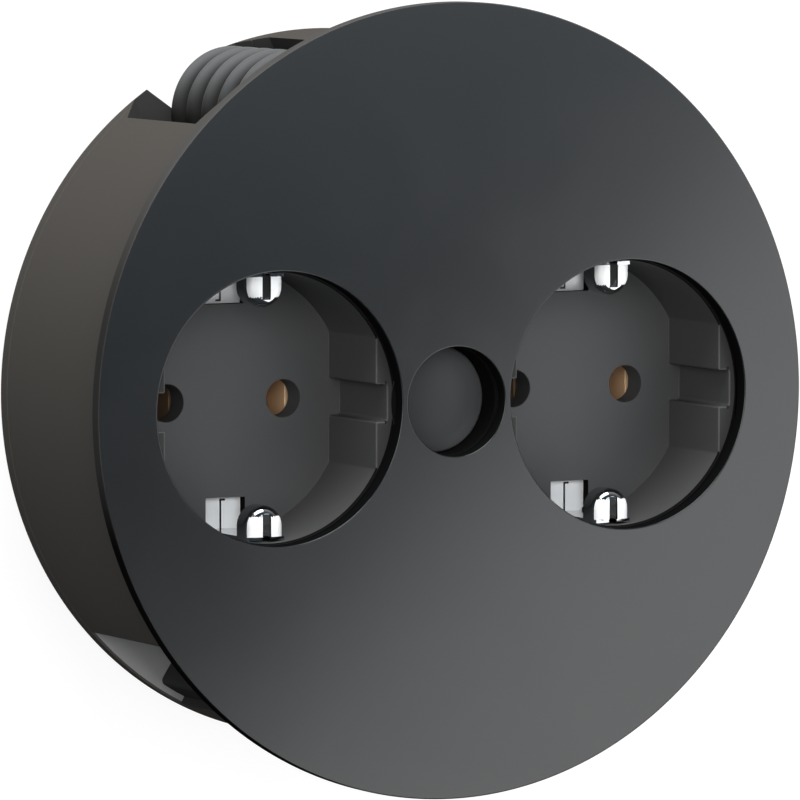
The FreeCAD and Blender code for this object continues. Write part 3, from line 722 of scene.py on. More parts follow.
# The yoke's chrome, darkened so that its reflections stay dark: the shaded copy beside the painted reflection
# below.
CHROME = Finish("chromed_spring", (0.36, 0.37, 0.38), (0.42, 0.43, 0.44), (0.05, 0.11), metallic=1.0,
                grain=1500.0, relief=0.002, drift=200.0, smudge=300.0)
# Painted reflection: a near-white, rough, hardly metallic copy of the chrome on the strap's upper side and
# the blades' fronts, standing in for a bright reflection.
CHROME_PAINTED_REFLECTION = Finish("strap_chrome", (0.98, 0.98, 0.98), (1.0, 1.0, 1.0), (0.42, 0.50), metallic=0.1,
                      grain=1500.0, relief=0.002, drift=200.0, smudge=300.0, slot="chromed_spring")
COPPER = Finish("copper_strip", (0.95, 0.66, 0.40), (0.93, 0.62, 0.36), (0.45, 0.55), metallic=0.5,
                grain=2500.0, relief=0.004, drift=150.0, smudge=200.0)
# Painted shade: a dark copy of the copper for the line contacts, standing in for the shade in their pin
# holes.
COPPER_PAINTED_SHADE = Finish("copper_dull", (0.30, 0.19, 0.12), (0.26, 0.16, 0.10), (0.45, 0.55), metallic=0.5,
                     grain=2500.0, relief=0.004, slot="copper_strip")
CLAW_METAL = Finish("claw_metal", (0.52, 0.52, 0.53), (0.60, 0.60, 0.61), (0.42, 0.55), metallic=1.0,
                    grain=2200.0, relief=0.02, drift=120.0)
SCREW_STEEL = Finish("screw_steel", (0.60, 0.60, 0.60), (0.66, 0.66, 0.65), (0.25, 0.38), metallic=1.0,
                     grain=2500.0, relief=0.006, drift=250.0)


# Pieces

@dataclass(frozen=True)
class Faces:
    """Faces of a mesh, one in each row: their centres in millimetres and their outward normals."""

    centres: np.ndarray
    normals: np.ndarray

    def across(self, x: float = 0.0) -> np.ndarray:
        """Distance of each centre from the plane at x, measured along X."""
        return abs(self.centres[:, 0] - x)

    def along(self) -> np.ndarray:
        """Distance of each centre from the plane at y = 0, measured along Y."""
        return abs(self.centres[:, 1])

    def height(self) -> np.ndarray:
        """Height of each centre."""
        return self.centres[:, 2]

    def reach(self, x: float = 0.0) -> np.ndarray:
        """Distance of each centre from an upright axis at (x, 0)."""
        return np.hypot(self.centres[:, 0] - x, self.centres[:, 1])

    def lift(self) -> np.ndarray:
        """Z of each normal: 1 for a face that looks straight up, and 0 for an upright one."""
        return self.normals[:, 2]


Rule = Callable[[Faces], np.ndarray]


@dataclass
class Piece:
    """Shared work of every new piece: its mesh, finish, body and the node that it stands for."""

    body: str = "module"

    def show(self, node: str, mesh: bpy.types.Mesh, finish: Finish, sharp: float = 32.0,
             patches: Sequence[tuple[Finish, Rule]] = ()) -> None:
        """Puts a finished mesh in the scene in place of a node.

        Args:
            node: the node that the piece replaces; the piece is called NODE_form.
            mesh: its mesh, in metres.
            finish: its main finish.
            sharp: edges that turn by more than this many degrees stay crisp.
            patches: (finish, rule) pairs; the rule tells which faces have that finish, and a later pair
                goes before an earlier one.
        """
        name = node + "_form"
        mesh.name = name
        clean(mesh, sharp)
        mesh.materials.clear()
        mesh.materials.append(finish.material())
        count = len(mesh.polygons)
        centres = np.zeros(count * 3)
        normals = np.zeros(count * 3)
        mesh.polygons.foreach_get("center", centres)
        mesh.polygons.foreach_get("normal", normals)
        faces = Faces(centres.reshape(-1, 3) / MM, normals.reshape(-1, 3))
        which = np.zeros(count, np.int32)
        for number, (other, rule) in enumerate(patches, 1):
            mesh.materials.append(other.material())
            which[rule(faces)] = number
        mesh.polygons.foreach_set("material_index", which)
        made = put_in_scene(name, mesh)
        even = made.modifiers.new("even_shading", "WEIGHTED_NORMAL")
        even.keep_sharp = True
        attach(made, self.body)
        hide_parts(node)
        log.info("%s: %d faces", name, count)


@dataclass
class TurningCover(Piece):
    """Round plate with two socket openings, a centre hole, a rim skirt, a snap ring and two stop lugs."""

    body: str = "cover"
    radius: float = 57.75
    face: float = 42.7
    underside: float = 40.7
    inset: float = 2.0
    rim_edge: float = 0.15
    skirt_edge: float = 0.2
    small_edge: float = 0.1
    groove_radius: float = 56.35
    groove_top: float = 41.8
    ring_outer: float = 49.9
    ring_inner: float = 48.95
    ring_low: float = 38.1
    bead_radius: float = 50.4
    bead_top: float = 39.3
    bead_edge: float = 0.12
    opening_radius: float = 19.7
    opening_edge: float = 0.2
    lug_root: float = 0.2
    lug_reach: float = 51.3
    lug_low: float = 40.2
    lug_half_arc: float = 3.0
    lug_angles: tuple = (-45.0, 135.0)

    def blank(self) -> Shape:
        """Plate, skirt and snap ring as one solid of revolution.

        Returns:
            The solid.
        """
        corners = [(self.ring_inner, self.underside), (self.ring_inner, self.ring_low),
                   (self.ring_outer, self.ring_low), (self.bead_radius, self.bead_top),
                   (self.ring_outer, self.bead_top), (self.ring_outer, self.groove_top),
                   (self.groove_radius, self.groove_top), (self.groove_radius, self.underside),
                   (self.radius, self.underside), (self.radius, self.face),
                   (self.radius - self.inset, self.face)]
        radii = [0, self.small_edge, self.small_edge, self.bead_edge, 0, 0, 0, self.small_edge,
                 self.skirt_edge, self.rim_edge, 0]
        return turned(eased(corners, radii), count=512)

    def on_sides(self, faces: Faces) -> np.ndarray:
        """Tells which faces are sides that begin under the face's eased edges."""
        return (faces.height() < self.face - self.rim_edge - TOUCH) & (faces.lift() < UPRIGHT)

    def on_rim(self, faces: Faces) -> np.ndarray:
        """Tells which faces lie on the rim, which take the painted light and shade."""
        return faces.reach() > self.radius - self.rim_edge

    def build(self) -> None:
        """Cuts the openings, adds the lugs and shows the cover."""
        steps = []
        for angle in self.lug_angles:
            outline = sector_outline(self.ring_outer - self.lug_root, self.lug_reach,
                                     angle - self.lug_half_arc, angle + self.lug_half_arc, count=8)
            steps.append((Step.ADD, prism(outline, self.lug_low, self.groove_top + self.lug_root)))
        holes = [(self.opening_radius, (side.middle(), 0.0)) for side in Side]
        holes.append((RECESS_RADIUS, (0.0, 0.0)))
        for radius, centre in holes:
            steps.append((Step.CUT, hole_cutter(radius, self.ring_low - OVERCUT, self.face,
                                                self.opening_edge, centre)))
        self.show("cover", carve(self.blank(), steps), COVER_SATIN,
                  patches=((CUT_SIDE, self.on_sides), (RIM_PAINTED_LIGHT_AND_SHADE, self.on_rim)))


@dataclass
class CableBay:
    """Space for the lead in the drum's side; its own axes run across the bay and out of the drum."""

    angle: float = 25.9
    half: float = 13.0
    inner: float = 33.3
    outer: float = 57.7
    pocket_outer: float = 48.9
    low: float = 0.7
    high: float = BAY_CEILING
    corner: float = 3.0
    wall: float = 1.6
    slope: float = 3.8
    slope_top: float = 4.5
    cut_from: float = 46.7
    slot_mouth: float = 6.7
    slot_rim: float = 52.3
    slot_throat: float = 4.4
    slot_high: float = 3.5
    sleeve_across: float = 2.305
    sleeve_out: float = 44.127

    def walls(self, low: float, high: float, reach: float) -> Shape:
        """Solid that the bay is cut into; its outer side follows the drum.

        Args:
            low: height of its underside.
            high: height of its top.
            reach: radius of its outer side.

        Returns:
            The solid.
        """
        half = self.half + self.wall
        end = math.degrees(math.asin(half / reach))
        bottom = [(-half, self.inner - self.wall), (half, self.inner - self.wall)]
        outline = np.vstack((bottom, arc(reach, 90.0 - end, 90.0 + end, count=40)))
        return prism(outline, low, high).placed(degrees=self.angle)

    def around(self, low: float, high: float) -> Shape:
        """Tool that covers the whole bay, its walls with it.

        Args:
            low: height of its underside.
            high: height of its top.

        Returns:
            The tool.
        """
        half = self.half + self.wall
        outline = box_outline(-half, half, self.inner - self.wall, self.outer)
        return prism(outline, low, high).placed(degrees=self.angle)

    def pocket(self) -> Shape:
        """Space inside the bay, with rounded inner corners.

        Returns:
            The tool.
        """
        corners = [(-self.half, self.inner), (self.half, self.inner), (self.half, self.pocket_outer),
                   (-self.half, self.pocket_outer)]
        outline = eased(corners, [self.corner, self.corner, 0, 0], steps=14)
        return prism(outline, self.low, self.high).placed(degrees=self.angle)

    def window(self) -> Shape:
        """Cut-out in the drum's side, down to the bay's floor, whose lower corners slope in.

        Returns:
            The tool.
        """
        narrow = self.half - self.slope
        outline = np.array([(-self.half, self.high), (-self.half, self.slope_top), (-narrow, self.low),
                            (narrow, self.low), (self.half, self.slope_top), (self.half, self.high)])
        return prism(outline, self.cut_from, self.outer, Axis.Y).placed(degrees=self.angle)

    def slot(self) -> list[Shape]:
        """Slot that the lead leaves by: a wedge and its round end.

        Returns:
            The tools.
        """
        mouth = self.slot_mouth
        wedge = np.array([(-mouth, self.slot_rim), (-mouth, self.outer), (mouth, self.outer),
                          (mouth, self.slot_rim), (self.sleeve_across + self.slot_throat, self.sleeve_out),
                          (self.sleeve_across - self.slot_throat, self.sleeve_out)])
        return [prism(wedge, -OVERCUT, self.slot_high).placed(degrees=self.angle),
                cylinder(self.slot_throat, -OVERCUT, self.slot_high, SLEEVE_AT, count=96)]

    def holds(self, faces: Faces) -> np.ndarray:
        """Tells which faces lie on the bay's own surfaces.

        Args:
            faces: the faces.

        Returns:
            True for each of them.
        """
        turn = math.radians(self.angle)
        x, y, z = faces.centres.T
        across = x * math.cos(turn) + y * math.sin(turn)
        out = y * math.cos(turn) - x * math.sin(turn)
        return ((abs(across) < self.half + SPARE) & (out > self.inner - SPARE)
                & (faces.reach() < DRUM_RADIUS - DRUM_SKIN)
                & (z > self.low - SPARE) & (z < self.high + SPARE))


@dataclass
class ClawBay:
    """Bay in the drum for one fixing claw, with its side window and set-back pillar.

    The angles are in degrees round the drum's axis, and turn moves them all.
    """

    turn: float = 0.0
    start: float = 217.5
    window_start: float = 222.0
    end: float = 237.2
    window_end: float = 242.3
    wall_before: float = 2.0
    wall_after: float = 1.5
    pillar_lead: float = 1.2
    spare_angle: float = 0.5
    inner: float = 42.0
    pillar: float = 51.5
    pillar_round: float = 0.8
    outer: float = 55.0
    wall: float = 1.6
    top: float = 35.8
    screw_radius: float = 45.5
    screw_angle: float = 233.0
    screw_hole: float = 1.6

    def holds(self, faces: Faces) -> np.ndarray:
        """Tells which faces lie on the bay's own surfaces.

        Args:
            faces: the faces.

        Returns:
            True for each of them.
        """
        x, y, z = faces.centres.T
        angle = np.mod(np.degrees(np.arctan2(y, x)) - self.turn, 360.0)
        reach = faces.reach()
        return ((angle > self.start - self.spare_angle) & (angle < self.window_end + self.spare_angle)
                & (reach > self.inner - SPARE) & (reach < DRUM_RADIUS - DRUM_SKIN)
                & (z < self.top + SPARE))

    def walls(self, low: float) -> Shape:
        """Solid that the bay is cut into.

        Args:
            low: height of its underside.

        Returns:
            The solid.
        """
        outline = sector_outline(self.inner - self.wall, DRUM_BORE + OVERLAP, self.start - self.wall_before,
                                 self.window_end + self.wall_after)
        return prism(outline, low, self.top + self.wall).placed(degrees=self.turn)

    def space(self, low: float) -> Shape:
        """Pocket, window and set-back in one, round its inner arc, its window and its pillar.

        Args:
            low: height at which the tool starts.

        Returns:
            The tool.
        """
        runs = [arc(self.inner, self.end, self.start, count=40),
                arc(DRUM_BORE, self.start, self.window_start, count=12),
                arc(self.outer, self.window_start, self.window_end, count=40),
                arc(self.pillar, self.window_end, self.end + self.pillar_lead, count=10),
                np.array([polar(self.pillar, self.end)])]
        radii = np.zeros(sum(len(run) for run in runs))
        radii[-1] = self.pillar_round
        return prism(eased(np.vstack(runs), radii), low, self.top).placed(degrees=self.turn)

    def screw_place(self) -> tuple[float, float]:
        """Where the claw's screw stands."""
        return polar(self.screw_radius, self.screw_angle + self.turn)

    def screw_tool(self) -> Shape:
        """Tool for the screw's hole in the bay's roof."""
        return cylinder(self.screw_hole, self.top - OVERCUT, self.top + self.wall + OVERCUT,
                        self.screw_place(), count=48)


CABLE_BAY = CableBay()
CLAW_BAYS = (ClawBay(), ClawBay(turn=180.0))


@dataclass
class DrumHousing(Piece):
    """Moulded drum: its wall, desk flange, cable bay, claw bays and the towers for the cable clamp."""

    low: float = 2.6
    flange_low: float = 40.5
    flange_top: float = 41.5
    flange_radius: float = 56.0
    lip_radius: float = 50.2
    lip_low: float = 39.6
    edges: tuple = (0.0, 0.12, 0.2, 0.25, 0.25, 0.15, 0.1, 0.0)
    groove_root: float = 1.0
    groove_reach: float = 51.6
    groove_low: float = 39.9
    groove_spare: float = 3.17
    groove_angles: tuple = (-45.0, 135.0)
    travel: float = 90.0
    sleeve_hole: float = 6.2
    tower_at: tuple = (12.0, 40.2)
    tower_span: float = 6.4
    tower_half: tuple = (2.5, 1.9)
    tower_height: float = 6.0
    tower_edge: float = 0.3
    slot_half: tuple = (1.5, 1.0)
    slot_lift: float = 0.5

    def blank(self) -> Shape:
        """Wall, flange and lip as one ring, whose profile's corners are eased in order by the edges.

        Returns:
            The ring.
        """
        corners = [(DRUM_BORE, self.low), (DRUM_RADIUS, self.low), (DRUM_RADIUS, self.flange_low),
                   (self.flange_radius, self.flange_low), (self.flange_radius, self.flange_top),
                   (self.lip_radius, self.flange_top), (self.lip_radius, self.lip_low),
                   (DRUM_BORE, self.lip_low)]
        return turned(eased(corners, self.edges), count=512, ring=True)

    def towers(self) -> tuple[list[Shape], list[Shape]]:
        """Towers on the bay's roof and the slots in them.

        Returns:
            The towers, and the tools for their slots.
        """
        x, y = self.tower_at
        towers, slots = [], []
        for side in (-1, 1):
            middle = y + side * self.tower_span
            wide, deep = self.tower_half
            tower = block(x - wide, x + wide, middle - deep, middle + deep, BAY_ROOF - OVERLAP,
                          BAY_ROOF + self.tower_height, self.tower_edge)
            wide, deep = self.slot_half
            slot = block(x - wide, x + wide, middle - deep, middle + deep, BAY_ROOF + self.slot_lift,
                         BAY_ROOF + WIDE)
            towers.append(tower.placed(degrees=CABLE_BAY.angle))
            slots.append(slot.placed(degrees=CABLE_BAY.angle))
        return towers, slots

    def build(self) -> None:
        """Adds the bays' walls, cuts the bays and shows the drum."""
        towers, slots = self.towers()
        adds = [CABLE_BAY.walls(self.low, BAY_ROOF, DRUM_BORE + OVERLAP)]
        adds += [bay.walls(self.low) for bay in CLAW_BAYS] + towers
        cuts = [CABLE_BAY.pocket(), CABLE_BAY.window(),
                cylinder(self.sleeve_hole, BAY_CEILING - OVERCUT, BAY_ROOF + OVERCUT, SLEEVE_AT, count=96)]
        for bay in CLAW_BAYS:
            cuts += [bay.space(self.low - OVERCUT), bay.screw_tool()]
        for angle in self.groove_angles:
            outline = sector_outline(self.lip_radius - self.groove_root, self.groove_reach,
                                     angle - self.groove_spare, angle + self.travel + self.groove_spare,
                                     count=120)
            cuts.append(prism(outline, self.groove_low, self.flange_top + OVERCUT))
        steps = [(Step.ADD, shape) for shape in adds] + [(Step.CUT, shape) for shape in cuts + slots]
        # The bays' surfaces take the painted shade.
        self.show("drum_housing", carve(self.blank(), steps), DRUM_PLASTIC,
                  patches=[(PLASTIC_PAINTED_SHADE, bay.holds) for bay in (CABLE_BAY, *CLAW_BAYS)])


@dataclass
class RearPlate(Piece):
    """Plate that closes the drum, with the main screw's pillar and the terminal's seat."""

    top: float = 2.5
    brim: float = 0.35
    ledge: float = 0.03
    inset: float = 2.0
    foot_edge: float = 0.5
    brim_edge: float = 0.12
    pillar: float = 4.6
    pillar_top: float = 31.5
    pilot: float = 2.0
    pilot_low: float = 20.5
    seat: tuple = (2.5, 18.5, 27.0, 34.0, 2.0, 12.0)

    def on_floor(self, faces: Faces) -> np.ndarray:
        """Tells which faces make the floor inside the drum, which takes the painted light."""
        return (faces.height() > self.top - 2.0 * TOUCH) & (faces.lift() > LOOKS_UP)

    def in_bay(self, faces: Faces) -> np.ndarray:
        """Tells which faces lie in the cable bay, which take the painted shade."""
        return CABLE_BAY.holds(faces) & (faces.height() < self.top - 2.0 * TOUCH)

    def build(self) -> None:
        """Turns the disc, adds what stands on it, cuts the bay and shows the plate.

        Round the brim and the cable bay the floor is lower by the ledge, so that these strips, which the
        narrow gap under the drum shows, have the drum's finish and not the floor's painted light.
        """
        step = self.top - self.ledge
        corners = [(DRUM_RADIUS - self.inset, 0.0), (DRUM_RADIUS, 0.0), (DRUM_RADIUS, step),
                   (DRUM_RADIUS - self.brim, step), (DRUM_RADIUS - self.brim, self.top),
                   (DRUM_RADIUS - self.inset, self.top)]
        disc = turned(eased(corners, [0, self.foot_edge, self.brim_edge, 0, 0, 0]), count=512)
        steps = [(Step.ADD, cylinder(self.pillar, self.top - OVERLAP, self.pillar_top, count=96)),
                 (Step.ADD, block(*self.seat))]
        cuts = [CABLE_BAY.pocket(), CABLE_BAY.window(), *CABLE_BAY.slot(),
                cylinder(self.pilot, self.pilot_low, self.pillar_top + OVERCUT, count=48),
                CABLE_BAY.around(step, self.top + OVERCUT)]
        steps += [(Step.CUT, shape) for shape in cuts]
        self.show("rear_plate", carve(disc, steps), DRUM_PLASTIC,
                  patches=((FLOOR_PAINTED_LIGHT, self.on_floor), (PLASTIC_PAINTED_SHADE, self.in_bay)))


@dataclass
class SocketDeck(Piece):
    """Deck under the cover, with the centre recess and a hole for each socket well."""

    low: float = 38.1
    inset: float = 1.0
    low_edge: float = 0.15
    top_edge: float = 0.2
    hole_radius: float = 20.9
    hole_flat: float = 20.2
    hub_radius: float = 9.15
    hub_low: float = 31.5
    recess_edge: float = 0.18
    recess_reach: float = 8.2
    seat: float = 35.2
    head_room: float = 7.05
    head_low: float = 33.0
    screw_hole: float = 2.3
    sink_low: float = 38.4
    sink_radius: float = 3.8
    sink_top: float = 40.6
    face_depth: float = 0.3

    def on_show(self, faces: Faces) -> np.ndarray:
        """Tells which faces lie at the deck's face or in the centre recess, which take the painted shadow.

        Args:
            faces: the faces.

        Returns:
            True for each of them.
        """
        face = faces.height() > DECK_TOP - self.face_depth
        recess = (faces.height() > self.head_low) & (faces.reach() < self.recess_reach)
        return face | recess

    def build(self) -> None:
        """Turns the disc, adds the hub, cuts every hole and shows the deck."""
        corners = [(DECK_RADIUS - self.inset, self.low), (DECK_RADIUS, self.low), (DECK_RADIUS, DECK_TOP),
                   (DECK_RADIUS - self.inset, DECK_TOP)]
        disc = turned(eased(corners, [0, self.low_edge, self.top_edge, 0]), count=384)
        hole = prism(flatted_circle(self.hole_radius, self.hole_flat), self.low - OVERCUT, DECK_TOP + OVERCUT)
        steps = [(Step.CUT, hole.placed((side.middle(), 0.0, 0.0))) for side in Side]
        steps.append((Step.ADD, cylinder(self.hub_radius, self.hub_low, DECK_TOP)))
        cuts = [hole_cutter(RECESS_RADIUS, self.seat, DECK_TOP, self.recess_edge),
                cylinder(self.head_room, self.head_low, self.seat + OVERCUT),
                cylinder(self.screw_hole, self.hub_low - OVERCUT, self.head_low + OVERCUT, count=64)]
        for bay in CLAW_BAYS:
            sink = [(bay.screw_hole, self.low - OVERCUT), (bay.screw_hole, self.sink_low),
                    (self.sink_radius, self.sink_top)]
            cuts.append(turned(sink, bay.screw_place(), count=64))
        steps += [(Step.CUT, shape) for shape in cuts]
        self.show("socket_deck", carve(disc, steps), WELL_PLASTIC, patches=((PAINTED_SHADOW, self.on_show),))


@dataclass
class SocketWell(Piece):
    """Moulding with one earthed socket well: key blocks, pin holes, clip windows and nicks."""

    side: Side = Side.LEFT
    radius: float = 19.5
    flat: float = 17.0
    shoulder: float = 0.8
    arc_points: int = 110
    key_half: float = 2.7
    key_back: float = 18.8
    key_lip: float = 0.3
    key_round: float = 0.55
    wall: float = 1.3
    floor: float = 25.2
    floor_low: float = 23.7
    floor_round: float = 0.1
    foot: tuple = ((0.0, -0.5), (0.15, -0.15), (0.5, 0.0))
    top_edge: float = 0.22
    edge_depth: float = 0.25
    step: float = 0.03
    step_gap: float = 0.03
    pin_radius: float = 2.75
    pin_edge: float = 0.12
    boss: float = 4.0
    boss_low: float = 21.4
    boss_edge: float = 0.5
    window_half: float = 3.2
    window_inner: float = 14.05
    window_round: float = 0.2
    nick: float = 0.35
    nick_depth: float = 0.6
    past: float = 0.1
    hub_radius: float = 9.25
    hub_room: float = 3.0

    def plan(self) -> np.ndarray:
        """Plan of the well: two arcs, and on each side a flat with the key channel in its middle.

        Returns:
            Array of (x, y) rows.
        """
        rise = math.sqrt(self.radius ** 2 - self.flat ** 2)
        edge = math.degrees(math.asin(rise / self.radius))
        upper = arc(self.radius, edge, 180.0 - edge, self.arc_points)
        lower = arc(self.radius, 180.0 + edge, 360.0 - edge, self.arc_points)
        left = np.array([(-self.flat, self.key_half), (-self.key_back, self.key_half),
                         (-self.key_back, -self.key_half), (-self.flat, -self.key_half)])
        smooth = [0.0] * (self.arc_points - 2)
        key = [self.key_lip, self.key_round, self.key_round, self.key_lip]
        radii = [self.shoulder] + smooth + [self.shoulder] + key
        return eased(np.vstack((upper, left, lower, -left)), radii + radii)

    def space(self) -> Shape:
        """Space inside the well: its wall curves into the floor, and its front edge is eased.

        With t from 0 to 90 degrees, the foot is a quarter circle at floor + r * (1 - cos t), offset by
        -r * (1 - sin t), and the brim one at top - SHY - e + e * sin t, offset by e * (1 - cos t).

        Returns:
            The tool.
        """
        t = np.radians(np.linspace(0.0, 90.0, 5))
        foot = np.column_stack((self.floor + self.floor_round * (1.0 - np.cos(t)),
                                -self.floor_round * (1.0 - np.sin(t))))
        brim = np.column_stack((DECK_TOP - self.top_edge - SHY + self.top_edge * np.sin(t),
                                self.top_edge * (1.0 - np.cos(t))))
        return loft(self.plan(), np.vstack((foot, brim, [(DECK_TOP + OVERCUT, self.top_edge)])))

    def body_shape(self) -> Shape:
        """Outer walls of the well, with a rounded foot.

        Returns:
            The solid.
        """
        outline = flatted_circle(self.radius + self.wall, self.key_back + self.wall)
        levels = [(self.floor_low + rise, offset) for rise, offset in self.foot]
        return loft(outline, levels + [(DECK_TOP, 0.0)])

    def ends(self) -> tuple[list[Shape], list[Shape]]:
        """Boss, pin hole, window and nicks at each end of the well.

        Returns:
            The solids to add, and the tools.
        """
        adds, cuts = [], []
        for end in (-1, 1):
            x = end * PIN_OFFSET
            adds.append(block(x - self.boss, x + self.boss, -self.boss, self.boss, self.boss_low,
                              self.floor_low + OVERLAP, self.boss_edge))
            cuts.append(hole_cutter(self.pin_radius, self.boss_low - OVERCUT, self.floor, self.pin_edge,
                                    (x, 0.0), count=128))
            sides = sorted((end * self.window_inner, end * (self.radius + self.past)))
            cuts.append(block(-self.window_half, self.window_half, *sides, self.floor_low - OVERCUT,
                              self.floor + OVERCUT, self.window_round))
            for across in (-1, 1):
                x0, x1 = sorted((end * (self.key_back - self.nick), end * (self.key_back + TOUCH)))
                y0, y1 = sorted((across * (self.key_half - self.past),
                                 across * (self.key_half + self.nick + self.past)))
                cuts.append(block(x0, x1, y0, y1, DECK_TOP - self.nick_depth, DECK_TOP + OVERCUT))
        return adds, cuts

    def edge_step(self) -> Shape:
        """Tool that lowers the front outside the eased edge by a hair, so that it takes the painted shadow.

        Returns:
            The tool.
        """
        inner = self.radius + self.top_edge + self.step_gap
        low, high = DECK_TOP - self.step, DECK_TOP + OVERCUT
        return turned([(inner, low), (inner + WIDE, low), (inner + WIDE, high), (inner, high)], ring=True)

    def on_edge(self, faces: Faces) -> np.ndarray:
        """Tells which faces lie on the eased front edge or outside it, which take the painted shadow."""
        return ((faces.height() > DECK_TOP - self.edge_depth)
                & (faces.reach(self.side.middle()) > self.radius - self.past))

    def on_step(self, faces: Faces) -> np.ndarray:
        """Tells which faces lie on the lowered front, which takes the painted shadow."""
        return (abs(faces.height() - DECK_TOP + self.step) < TOUCH) & (faces.lift() > LOOKS_UP)

    def on_front(self, faces: Faces) -> np.ndarray:
        """Tells which faces lie on the front that isn't lowered, which take the painted shade."""
        return (faces.height() > DECK_TOP - TOUCH) & (faces.lift() > LOOKS_UP)

    def in_windows(self, faces: Faces) -> np.ndarray:
        """Tells which faces are the sides of the windows in the floor, which take the painted shadow.

        Args:
            faces: the faces.

        Returns:
            True for each of them.
        """
        return ((faces.height() < self.floor - 2.0 * TOUCH) & (abs(faces.lift()) < UPRIGHT)
                & (faces.across(self.side.middle()) < self.window_half + SPARE)
                & (faces.along() > self.window_inner - SPARE))

    def build(self) -> None:
        """Cuts the well, its holes, windows and nicks, and shows the moulding."""
        at = (self.side.middle(), 0.0, 0.0)
        adds, cuts = self.ends()
        steps = [(Step.ADD, shape.placed(at)) for shape in adds]
        steps += [(Step.CUT, shape.placed(at)) for shape in (self.space(), *cuts, self.edge_step())]
        hub = cylinder(self.hub_radius, self.floor_low - self.hub_room, DECK_TOP + OVERCUT)
        deck = cylinder(DECK_RADIUS, 0.0, DECK_TOP + 2.0 * OVERCUT, count=384)
        steps += [(Step.CUT, hub), (Step.KEEP, deck)]
        self.show(self.side.node("socket_well"), carve(self.body_shape().placed(at), steps), WELL_PLASTIC,
                  patches=((PAINTED_SHADOW, self.on_edge), (PAINTED_SHADOW, self.on_step),
                           (PLASTIC_PAINTED_SHADE, self.on_front), (PAINTED_SHADOW, self.in_windows)))


@dataclass
class CentreCap(Piece):
    """Cap at the bottom of the centre recess, slightly dished."""

    radius: float = 7.85
    low: float = 35.2
    top: float = 36.4
    inset: float = 0.5
    foot_edge: float = 0.1
    edge: float = 0.45
    dish_radius: float = 6.6
    dish_slope: float = 0.8
    dish_edge: float = 0.3
    dish: float = 0.04
    middle: float = 1.0

    def build(self) -> None:
        """Turns the cap from its underside to the middle of its dish."""
        corners = [(self.radius - self.inset, self.low), (self.radius, self.low), (self.radius, self.top),
                   (self.dish_radius, self.top), (self.dish_radius - self.dish_slope, self.top - self.dish),
                   (self.middle, self.top - self.dish)]
        profile = eased(corners, [0, self.foot_edge, self.edge, self.dish_edge, self.dish_edge, 0])
        self.show("centre_cap", write_mesh("cap", turned(profile)), CAP_PAINTED_LIGHT_AND_SHADE)


